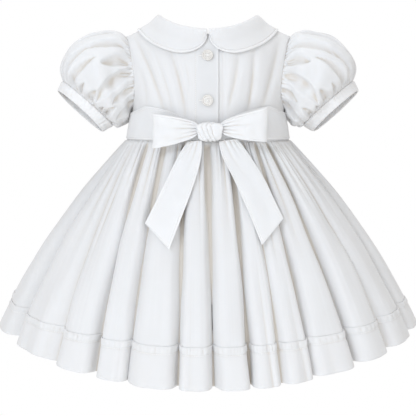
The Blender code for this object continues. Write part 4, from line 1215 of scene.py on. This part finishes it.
def skirt_relief(valleys, folds, fall, seed):
    """Gathers under the waist seam, folds that rise from the hem, and the cloth's slow wander."""
    count = len(valleys) - 1
    fine = scattered_grooves(seed, int(5.2 * count), 0, count, (0.036, 0.070), (1.2 * MM, 2.4 * MM),
                             (-0.02, 0.02), (0.08, 0.36), drift=0.14)
    medium = scattered_grooves(seed + 1, int(2.1 * count), 0, count, (0.055, 0.10),
                               (1.8 * MM, 4.2 * MM), (0.00, 0.12), (0.34, 0.95), drift=0.16)
    main = [Groove(place, 0.085, 3.0 * MM if valley.depth > 8 * MM else 1.5 * MM, 0.06, 0.5, 0)
            for place, valley in enumerate(valleys)]
    rising = scattered_grooves(seed + 4, int(1.7 * count), 0, count, (0.08, 0.15), (1.2 * MM, 3.0 * MM),
                               (-0.1, 0.0), (0.30, 0.80), drift=0.22)
    relief = -groove_depth(fine, folds, fall, growth=0.5)
    relief -= groove_depth(rising, folds, 1 - fall, growth=0.3)
    relief -= groove_depth(medium, folds, fall, growth=1.4)
    relief -= groove_depth(main, folds, fall, growth=0.3)
    relief += unevenness(seed + 2, folds * 0.8, fall * 1.3, 0.9 * MM) * ease(fall / 0.4)
    return relief * (0.3 + 0.7 * ease(fall / 0.03))


def hem_puckers(valleys, folds, from_seam, seed):
    """Small upright puckers held between the two rows of stitches."""
    count = len(valleys) - 1
    puckers = scattered_grooves(seed + 3, 13 * count, 0, count, (0.016, 0.030),
                                (0.5 * MM, 1.4 * MM), (0, 0.1), (1.6, 2.6), drift=0.02, loose=0.42)
    inside = np.exp(-((from_seam / HEM_STRIP - 0.5) / 0.42) ** 2)
    above = np.exp(-np.maximum(-from_seam, 0) / (4 * MM)) * (from_seam < 0) * 0.35
    below = np.exp(-np.maximum(from_seam - HEM_STRIP, 0) / (5 * MM)) * 0.25
    return groove_depth(puckers, folds, 0 * from_seam) * np.maximum(np.maximum(inside, above), below)


def outward_push(points, amount):
    """Move a skirt grid along its normals; near the waist the push is level, not downwards."""
    normals = outward_normals(points)
    normals[..., 2] *= 0.5
    normals /= np.linalg.norm(normals, axis=-1, keepdims=True)
    return points + normals * amount[..., None]


for name, valleys in VALLEYS.items():
    plan = SKIRT_PLANS[name]
    count = len(valleys) - 1
    folds = np.linspace(0.002, count - 0.002, plan.columns * count)[None]
    seam = hem_seam_fall(hem_girths(valleys, folds))
    share = np.linspace(0, 1, SKIRT_LINES)[:, None] ** 1.25
    fall = np.concatenate([SKIRT_TUCKS_ABOVE + 0 * seam, share * (seam - 0.008), seam + SKIRT_TUCKS_BELOW])
    base = skirt_base(valleys, folds + 0 * fall, fall)
    from_seam = (fall - seam) * SKIRT_LENGTH
    relief = skirt_relief(valleys, folds, fall, plan.seed)
    relief -= hem_puckers(valleys, folds, from_seam, plan.seed)
    relief -= SKIRT_TUCK_DEPTH * ease(from_seam / (1.5 * MM))
    relief -= SKIRT_TUCK_DEPTH * ease(1 - fall * SKIRT_LENGTH / (1.2 * MM))
    points = outward_push(base, relief)
    make_cloth(f"gathered_skirt_{name}", points, SKIRT_WALL, f"skirt_{name}", "skirt_cotton",
               flat=(plan.width, 0.232))

    folds = np.linspace(0.002, count - 0.002, plan.hem_columns * count)[None]
    seam = hem_seam_fall(hem_girths(valleys, folds))
    strip_share = HEM_STRIP / ((1 - seam.mean()) * SKIRT_LENGTH)
    strip_lines = HEM_LINES // 2
    share = np.concatenate([np.linspace(0, strip_share, strip_lines),
                            np.linspace(strip_share, 1, HEM_LINES - strip_lines + 1)[1:]])[:, None]
    fall = blend(seam + 0.001, 1.0, share)
    base = skirt_base(valleys, folds + 0 * fall, fall)
    from_seam = (fall - seam) * SKIRT_LENGTH
    relief = skirt_relief(valleys, folds, fall, plan.seed)
    relief -= hem_puckers(valleys, folds, from_seam, plan.seed)
    inside = np.clip(from_seam / HEM_STRIP, 0, 1)
    relief += STRIP_BULGE * np.sin(pi * inside) ** 0.6 * (from_seam < HEM_STRIP)
    relief += HEM_PROUD - HEM_FALL_BACK * ease((from_seam - 0.4 * HEM_STRIP) / (0.6 * HEM_STRIP))
    relief -= 0.25 * MM * np.exp(-((from_seam - HEM_STRIP) / (0.9 * MM)) ** 2)
    points = outward_push(base, relief)
    make_cloth(f"deep_hem_{name}", points, HEM_WALL, f"hem_{name}", "hem_cotton",
               flat=(plan.width, 0.048))

# %% [markdown]
# ## Tails of the bow
# Each tail lies over the skirt's ridges, with a folded and stitched edge all round and a
# slanted end. It is drawn by its two edges, then laid on an envelope just outside the
# folds, so that it bridges them as a stiff ironed strip does.

# %% Tails
TailRow = namedtuple("TailRow", "inner_out inner_height outer_out outer_height")
BOW_TAILS = {
    "left": (-1, in_mm(
        TailRow, (7.5, -147.6, 24.5, -148.6), (8, -166, 34.5, -164), (16, -196, 51, -196),
        (33, -240, 67, -228), (45.6, -271.7, 75, -243.5),
    )),
    "right": (1, in_mm(
        TailRow, (13.2, -148.5, 35, -145.5), (17, -166, 49, -164), (31, -193, 68, -194),
        (50, -234, 83, -225), (63.5, -267.3, 90, -239),
    )),
}
TAIL_LIFT = 2.8 * MM
TAIL_ROOT_LIFT = 7 * MM
TAIL_ROOT_LENGTH = 45 * MM
TAIL_STEPS = crowded_steps(50, 17, 0.15)
TAIL_DOWN = np.concatenate([np.linspace(0, 0.93, 64), np.linspace(0.93, 1, 18)[1:]])
TAIL_FOLDS = in_mm(
    Groove, (0.30, 0.07, 1.8, 0.0, 0.55, 0.25), (0.58, 0.06, 1.6, 0.0, 0.42, 0.05),
    (0.80, 0.06, 1.3, 0.02, 0.38, -0.1), columns="depth",
)


def over_the_skirt(out, height, lift):
    """Depth just outside the skirt's back ridges at a place across and a height."""
    waist = WAIST_HEIGHT + WAIST_TILT
    hem = HEM_SIDE_HEIGHT - HEM_MIDDLE_FALL
    fall = np.maximum((waist - height) / (waist - hem), 0)
    flare = skirt_flare(fall)
    half_width = blend(WAIST_HALF_WIDTH, HEM_HALF_WIDTH, flare)
    half_depth = blend(WAIST_HALF_DEPTH, HEM_HALF_DEPTH, flare)
    squareness = blend(TORSO_SQUARENESS, 2, flare)
    base = half_depth * (1 - (out / half_width) ** squareness) ** (1 / squareness)
    ridge = max(valley.ridge for valley in BACK_VALLEYS) * fold_size(fall)
    return -(base + ridge + lift)


for side_name, (side, table) in BOW_TAILS.items():
    edges = picked(table, TAIL_DOWN)
    across = TAIL_STEPS[None]
    down = TAIL_DOWN[:, None]
    out = blend(edges[:, :1], edges[:, 2:3], across)
    height = blend(edges[:, 1:2], edges[:, 3:], across)
    root = max(table[0].inner_height, table[0].outer_height)
    near_root = np.maximum(1 - (root - height) / TAIL_ROOT_LENGTH, 0)
    depth = over_the_skirt(out, height, TAIL_LIFT + TAIL_ROOT_LIFT * near_root**2)
    points = np.stack([side * out, depth, height], -1)
    width = np.hypot(edges[:, 2:3] - edges[:, :1], edges[:, 3:] - edges[:, 1:2])
    from_side = width * np.minimum(across, 1 - across)
    from_end = (1 - down) * 120 * MM
    relief = strip_relief(np.minimum(from_side, from_end), SASH_STRIP, 0.3 * MM, 0.5 * MM)
    relief = relief - groove_depth(TAIL_FOLDS, across, down, growth=0.8)
    relief = relief + unevenness(131 + side, across * 0.8 + 0 * down, down * 1.6, 0.5 * MM) + 0.6 * MM
    make_cloth(f"bow_end_{side_name}", pushed(points, relief), SASH_WALL, f"bow_tail_{side_name}",
               "sash_cotton", flat=(0.040, 0.125))

# %% [markdown]
# ## Buttons
# Two small four-hole buttons close the placket. Each is turned as a low disc with a raised
# rim and a dished middle, drilled with four holes, and sewn on with a cross of thread. One
# is modelled at the origin by hand tools and copied, and each copy's place goes into its
# own mesh.

# %% Pearl and thread finishes
Mottle = namedtuple("Mottle", "scale distortion low high dark light")


def mottled(name, values, mottle):
    """A plain finish whose colour wanders softly between two tones."""
    made, tree, shader = new_finish(name, values)
    place = add_node(tree, "ShaderNodeTexCoord")
    noise = add_node(tree, "ShaderNodeTexNoise", {"Scale": mottle.scale, "Distortion": mottle.distortion})
    link(tree, place, "Object", noise, "Vector")
    ramp = add_node(tree, "ShaderNodeValToRGB")
    stops = ramp.color_ramp.elements
    stops[0].position, stops[1].position = mottle.low, mottle.high
    stops[0].color, stops[1].color = mottle.dark, mottle.light
    link(tree, noise, "Fac", ramp, "Fac")
    link(tree, ramp, "Color", shader, "Base Color")
    return made


PEARL = mottled("pearl_button_finish", {"Roughness": 0.42, "Coat Weight": 0.15, "Coat Roughness": 0.25},
                Mottle(320, 1.6, 0.35, 0.65, (0.66, 0.63, 0.585, 1), (0.76, 0.735, 0.69, 1)))
THREAD = mottled("thread_finish", {"Roughness": 0.6, "Sheen Weight": 0.2},
                 Mottle(900, 0.0, 0.0, 1.0, (0.84, 0.82, 0.78, 1), (0.93, 0.92, 0.90, 1)))

# %% One button
BUTTON_RADIUS = 6.9 * MM
BUTTON_THICKNESS = 2.6 * MM
BUTTON_RIM = 1.3 * MM
BUTTON_DISH = 1.2 * MM
RIM_SLOPE = 0.8 * MM
RIM_ROUNDING = 0.62 * MM
DISH_RING = 3.2 * MM
DISH_CROWN = 0.12 * MM
HOLE_RADIUS = 0.75 * MM
HOLE_OFFSET = 1.55 * MM
BUTTON_OUT = -0.6 * MM
BUTTON_STAND = 1.3 * MM
BUTTON_HEIGHTS = {"upper": -46 * MM, "lower": -99.6 * MM}


def select_faces(piece, chosen):
    """In edit mode: select the faces whose middle and normal pass a test."""
    bpy.ops.mesh.select_mode(type="FACE")
    bpy.ops.mesh.select_all(action="DESELECT")
    shape = bmesh.from_edit_mesh(piece.data)
    for face in shape.faces:
        face.select_set(chosen(face.calc_center_median(), face.normal))
    bmesh.update_edit_mesh(piece.data)


deselect_all()
bpy.ops.mesh.primitive_cylinder_add(vertices=64, radius=BUTTON_RADIUS, depth=BUTTON_THICKNESS,
                                    location=(0, 0, BUTTON_THICKNESS / 2))
button = bpy.context.object
bpy.ops.object.transform_apply(location=True, rotation=False, scale=False)
bpy.ops.object.mode_set(mode="EDIT")
select_faces(button, lambda middle, normal: normal.z > 0.9)
bpy.ops.mesh.inset(thickness=BUTTON_RIM)
bpy.ops.mesh.inset(thickness=RIM_SLOPE)
bpy.ops.transform.translate(value=(0, 0, -BUTTON_DISH))
bpy.ops.mesh.inset(thickness=DISH_RING)
bpy.ops.transform.translate(value=(0, 0, DISH_CROWN))
select_faces(button, lambda middle, normal: abs(normal.z) < 0.1)
bpy.ops.mesh.region_to_loop()
bpy.ops.mesh.bevel(offset=RIM_ROUNDING, segments=5, affect="EDGES")
bpy.ops.object.mode_set(mode="OBJECT")
for across in (-1, 1):
    for up in (-1, 1):
        deselect_all()
        bpy.ops.mesh.primitive_cylinder_add(vertices=24, radius=HOLE_RADIUS, depth=12 * MM,
                                            location=(across * HOLE_OFFSET, up * HOLE_OFFSET, 0))
        drill = bpy.context.object
        hole = button.modifiers.new("thread_hole", "BOOLEAN")
        hole.operation = "DIFFERENCE"
        hole.object = drill
        deselect_all()
        bpy.context.view_layer.objects.active = button
        bpy.ops.object.modifier_apply(modifier=hole.name)
        bpy.data.objects.remove(drill, do_unlink=True)
deselect_all()
button.select_set(True)
bpy.context.view_layer.objects.active = button
bpy.ops.object.shade_smooth_by_angle(angle=radians(32))
print("button:", len(button.data.polygons), "faces")

# %% The thread cross, the buttonhole's end, and both buttons in place
def thread_bar(start, end, thick):
    """A short plump bar of thread between two points, from a ball drawn out by hand."""
    start, end = Vector(start), Vector(end)
    deselect_all()
    bpy.ops.mesh.primitive_uv_sphere_add(segments=10, ring_count=8, radius=1)
    bar = bpy.context.object
    along = end - start
    turn = along.to_track_quat("X", "Z").to_matrix().to_4x4()
    turn.translation = (start + end) / 2
    bpy.ops.object.mode_set(mode="EDIT")
    bpy.ops.transform.resize(value=(along.length / 2, thick / 2, thick / 2))
    bpy.ops.object.mode_set(mode="OBJECT")
    bar.data.transform(turn)
    bpy.ops.object.shade_smooth()
    return bar


def join(parts, name):
    deselect_all()
    for part in parts:
        part.select_set(True)
    bpy.context.view_layer.objects.active = parts[0]
    bpy.ops.object.join()
    joined = bpy.context.object
    joined.name = name
    joined.data.name = name
    return joined


ThreadBar = namedtuple("ThreadBar", "start end thick")
floor = BUTTON_THICKNESS - BUTTON_DISH + 0.1 * MM
reach = HOLE_OFFSET + 0.4 * MM
thread_bars = []
for beside in (-0.22 * MM, 0.22 * MM):
    low, high = -reach + beside, reach + beside
    thread_bars += [
        ThreadBar((low, -reach - beside, floor), (high, reach - beside, floor), 0.5 * MM),
        ThreadBar((-reach - beside, reach - beside, floor + 0.3 * MM),
                  (reach - beside, -reach - beside, floor + 0.3 * MM), 0.5 * MM),
    ]
thread_bars.append(ThreadBar((0, 0, -0.9 * MM), (0, 0, 0.5 * MM), 2.2 * MM))
slit_start, slit_end, slit_level = -BUTTON_RADIUS - 3.6 * MM, -BUTTON_RADIUS + 1.0 * MM, -0.1 * MM
for lift in (-0.35 * MM, 0.35 * MM):
    thread_bars.append(ThreadBar((slit_start, lift, slit_level), (slit_end, lift, slit_level), 0.75 * MM))
bar_tack = -BUTTON_RADIUS - 3.4 * MM
thread_bars.append(ThreadBar((bar_tack, -0.9 * MM, slit_level), (bar_tack, 0.9 * MM, slit_level), 0.8 * MM))
bars = [thread_bar(*bar) for bar in thread_bars]
cross = join(bars, "thread_cross")

for name, height in BUTTON_HEIGHTS.items():
    drop = drop_at(0, height)
    girth = girth_at(BUTTON_OUT, drop)
    surface = torso(girth, drop)
    outward = torso_lifted(girth, drop, 1.0) - surface
    outward = Vector(outward / np.linalg.norm(outward))
    stand = outward.to_track_quat("Z", "Y").to_matrix().to_4x4()
    stand.translation = Vector(surface) + outward * BUTTON_STAND
    for pattern, piece_name, finish in ((button, f"pearl_button_{name}", PEARL),
                                        (cross, f"button_thread_{name}", THREAD)):
        piece = bpy.data.objects.new(piece_name, pattern.data.copy())
        bpy.context.scene.collection.objects.link(piece)
        piece.data.name = piece_name
        piece.data.transform(stand)
        piece.data.materials.clear()
        piece.data.materials.append(finish)
        if pattern is button:
            finish_piece(piece, f"button_{name}")
        else:
            finish_piece(piece, None)
for pattern in (button, cross):
    bpy.data.objects.remove(pattern, do_unlink=True)
print("buttons sewn on at heights", {name: round(height, 4) for name, height in BUTTON_HEIGHTS.items()})

# %% [markdown]
# ## Stitches
# Rows of machine stitches hold the placket, the sash's edges, the bow's tails and the
# deep hem. One stitch is a small plump grain, made once from a ball. A run of them is
# that grain set down again and again along a line on a panel, all in one mesh.

# %% A run of stitches
STITCH_LENGTH = 1.9 * MM
STITCH_WIDTH = 0.42 * MM
STITCH_GAP = 0.7 * MM

deselect_all()
bpy.ops.mesh.primitive_uv_sphere_add(segments=6, ring_count=4, radius=0.5)
grain = bpy.context.object
bpy.ops.object.mode_set(mode="EDIT")
bpy.ops.transform.rotate(value=pi / 2, orient_axis="Y", center_override=(0, 0, 0))
bpy.ops.transform.resize(value=(STITCH_LENGTH, STITCH_WIDTH, STITCH_WIDTH))
bpy.ops.object.mode_set(mode="OBJECT")
GRAIN_POINTS = np.array([vertex.co for vertex in grain.data.vertices])
GRAIN_FACES = [tuple(face.vertices) for face in grain.data.polygons]
bpy.data.objects.remove(grain, do_unlink=True)


def line_on(name, rows, columns):
    """Points and normals along a line drawn in a panel's rows and columns, shares from 0 to 1."""
    points, normals, wall = SHEETS[name]
    rows, columns = np.broadcast_arrays(np.asarray(rows, float), np.asarray(columns, float))
    row = rows * (points.shape[0] - 1)
    column = columns * (points.shape[1] - 1)
    low_row = np.minimum(row.astype(int), points.shape[0] - 2)
    low_column = np.minimum(column.astype(int), points.shape[1] - 2)
    up, across = (row - low_row)[:, None], (column - low_column)[:, None]

    def read(grid):
        near = blend(grid[low_row, low_column], grid[low_row, low_column + 1], across)
        far = blend(grid[low_row + 1, low_column], grid[low_row + 1, low_column + 1], across)
        return blend(near, far, up)

    return read(points) + read(normals) * (0.5 * wall + 0.02 * MM), read(normals)


def upright_line(name, out, low=0.03, high=0.97):
    """Points and normals up a panel, at a steady distance out from the middle."""
    points = SHEETS[name][0]
    order = slice(None) if points[0, -1, 0] > points[0, 0, 0] else slice(None, None, -1)
    share = np.linspace(0, 1, points.shape[1])[order]
    columns = [np.interp(out, row[order], share) for row in points[..., 0]]
    rows = np.linspace(0, 1, points.shape[0])
    inside = (rows > low) & (rows < high)
    return line_on(name, rows[inside], np.array(columns)[inside])


def read_along(stops, way, values):
    """The rows of values at given stops along a way."""
    return np.stack([np.interp(stops, way, column) for column in values.T], -1)


def stitch_run(name, lines):
    """Stitches at even steps along one or more lines, as one piece."""
    all_points, all_faces = [], []
    for points, normals in lines:
        steps = np.linalg.norm(np.diff(points, axis=0), axis=1)
        way = np.concatenate([[0], np.cumsum(steps)])
        pitch = STITCH_LENGTH + STITCH_GAP
        stops = np.arange(0.6 * pitch, way[-1] - 0.6 * pitch, pitch)
        middle = read_along(stops, way, points)
        normal = read_along(stops, way, normals)
        along = read_along(stops + 0.5 * pitch, way, points) - read_along(stops - 0.5 * pitch, way, points)
        along /= np.linalg.norm(along, axis=1, keepdims=True)
        side = np.cross(normal, along)
        side /= np.linalg.norm(side, axis=1, keepdims=True)
        up = np.cross(along, side)
        for at, x_axis, y_axis, z_axis in zip(middle, along, side, up):
            base = len(all_points) * len(GRAIN_POINTS)
            all_points.append(at + GRAIN_POINTS @ np.array([x_axis, y_axis, z_axis]))
            all_faces += [tuple(base + corner for corner in face) for face in GRAIN_FACES]
    mesh = bpy.data.meshes.new(name)
    mesh.from_pydata(np.concatenate(all_points).tolist(), [], all_faces)
    mesh.shade_smooth()
    mesh.materials.append(THREAD)
    piece = bpy.data.objects.new(name, mesh)
    bpy.context.scene.collection.objects.link(piece)
    finish_piece(piece, None)
    print(f"{name}: {len(all_points)} stitches")


even = np.linspace(0, 1, 600)


def share_of(steps, place):
    """Where a place on a crowded scale lies, as a share of the grid's own lines."""
    return np.interp(place, steps, np.linspace(0, 1, len(steps)))


EDGE_STITCH = 0.075
for name in ("back", "front"):
    strip_row = (HEM_LINES // 2 - 1) / (HEM_LINES - 1)
    stitch_run(f"hem_stitches_{name}", [line_on(f"deep_hem_{name}", strip_row, even)])
for name in ("left", "right"):
    tail = f"bow_end_{name}"
    near, far = share_of(TAIL_STEPS, EDGE_STITCH), share_of(TAIL_STEPS, 1 - EDGE_STITCH)
    end = share_of(TAIL_DOWN, 0.975)
    stitch_run(f"tail_stitches_{name}", [
        line_on(tail, even * end, near), line_on(tail, even * end, far),
        line_on(tail, end, blend(near, far, even)),
    ])
    band = f"sash_band_{name}"
    near, far = share_of(SASH_STEPS, EDGE_STITCH), share_of(SASH_STEPS, 1 - EDGE_STITCH)
    stitch_run(f"sash_stitches_{name}", [line_on(band, near, even * 0.93),
                                         line_on(band, far, even * 0.93)])
stitch_run("placket_stitches", [upright_line("back_panel_left", PLACKET_LINE)])

# %% [markdown]
# ## Stage, light and camera
# White on white only reads if the light has a direction. One soft light from the upper
# left draws the folds, and a light from straight in front, two low ones and a weak one from
# the right open the shadows. A broad light high over the front gives the shoulders and the
# bow their bright tops, and a pale surround fills what is left. The lights are a little
# blue and the surround a little warm, so that shaded creases look warmer than the cloth in
# the light. The camera stands back with a long lens, a little above the dress, so that the
# hem shows its curve.

# %% Floor and lights
FLOOR_HEIGHT = -0.74
FLOOR_RADIUS = 0.57

deselect_all()
bpy.ops.mesh.primitive_circle_add(vertices=128, radius=FLOOR_RADIUS, fill_type="NGON")
ground = bpy.context.object
ground.name = "pale_floor"
ground.data.transform(Matrix.Translation((0, 0, FLOOR_HEIGHT)))
floor_finish, _, _ = new_finish("pale_floor_finish", {"Base Color": (0.93, 0.93, 0.93, 1), "Roughness": 0.9})
ground.data.materials.append(floor_finish)
ground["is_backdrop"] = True

Softbox = namedtuple("Softbox", "place aim size power colour")
SOFTBOXES = (
    Softbox((-1.20, -2.0, 1.05), (0, 0, -0.22), 0.7, 19, (0.78, 0.87, 1.0)),
    Softbox((1.5, -1.9, 0.3), (0, 0, -0.22), 1.4, 3.5, (0.80, 0.88, 1.0)),
    Softbox((-0.25, -2.9, -0.10), (0, 0, -0.22), 0.8, 13, (0.82, 0.89, 1.0)),
    Softbox((-1.0, -1.7, -0.65), (-0.1, 0, -0.15), 0.9, 7, (0.90, 0.95, 1.0)),
    Softbox((1.0, -1.7, -0.65), (0.1, 0, -0.15), 0.9, 6, (0.90, 0.95, 1.0)),
    Softbox((0.1, 0.6, 2.1), (0, 0, -0.2), 1.6, 20, (0.92, 0.96, 1.0)),
)
for number, box in enumerate(SOFTBOXES):
    bpy.ops.object.light_add(type="AREA", location=box.place)
    light = bpy.context.object
    light.name = f"softbox_{number + 1}"
    light.data.size = box.size
    light.data.energy = box.power
    light.data.color = box.colour
    light.rotation_euler = (Vector(box.aim) - Vector(box.place)).to_track_quat("-Z", "Y").to_euler()

world = bpy.data.worlds.new("white_surround")
bpy.context.scene.world = world
world.use_nodes = True
sky = world.node_tree
surround = sky.nodes["Background"]
set_sockets(surround, {"Color": (1.0, 0.98, 0.965, 1), "Strength": 0.62})
backdrop = add_node(sky, "ShaderNodeBackground", {"Color": (1, 1, 1, 1), "Strength": 1.0})
path = add_node(sky, "ShaderNodeLightPath")
choice = add_node(sky, "ShaderNodeMixShader")
link(sky, path, "Is Camera Ray", choice, "Fac")
link(sky, surround, "Background", choice, 1)
link(sky, backdrop, "Background", choice, 2)
link(sky, choice, "Shader", sky.nodes["World Output"], "Surface")
bpy.context.scene.view_settings.view_transform = "Standard"

# %% Camera
CAMERA_PLACE = Vector((0, -1.5, -0.014))
CAMERA_AIM = Vector((0, 0, -0.244))

bpy.ops.object.camera_add(location=CAMERA_PLACE)
camera = bpy.context.object
camera.name = "camera"
camera.data.lens = 101
camera.data.sensor_width = 36
camera.rotation_euler = (CAMERA_AIM - CAMERA_PLACE).to_track_quat("-Z", "Y").to_euler()
bpy.context.scene.camera = camera

# %% Sizes, and the end
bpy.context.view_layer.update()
triangles = {o.name: sum(len(p.vertices) - 2 for p in o.data.polygons)
             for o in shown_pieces() if o.type == "MESH"}
print("triangles:", sum(triangles.values()), "most in one piece:", max(triangles.values()))
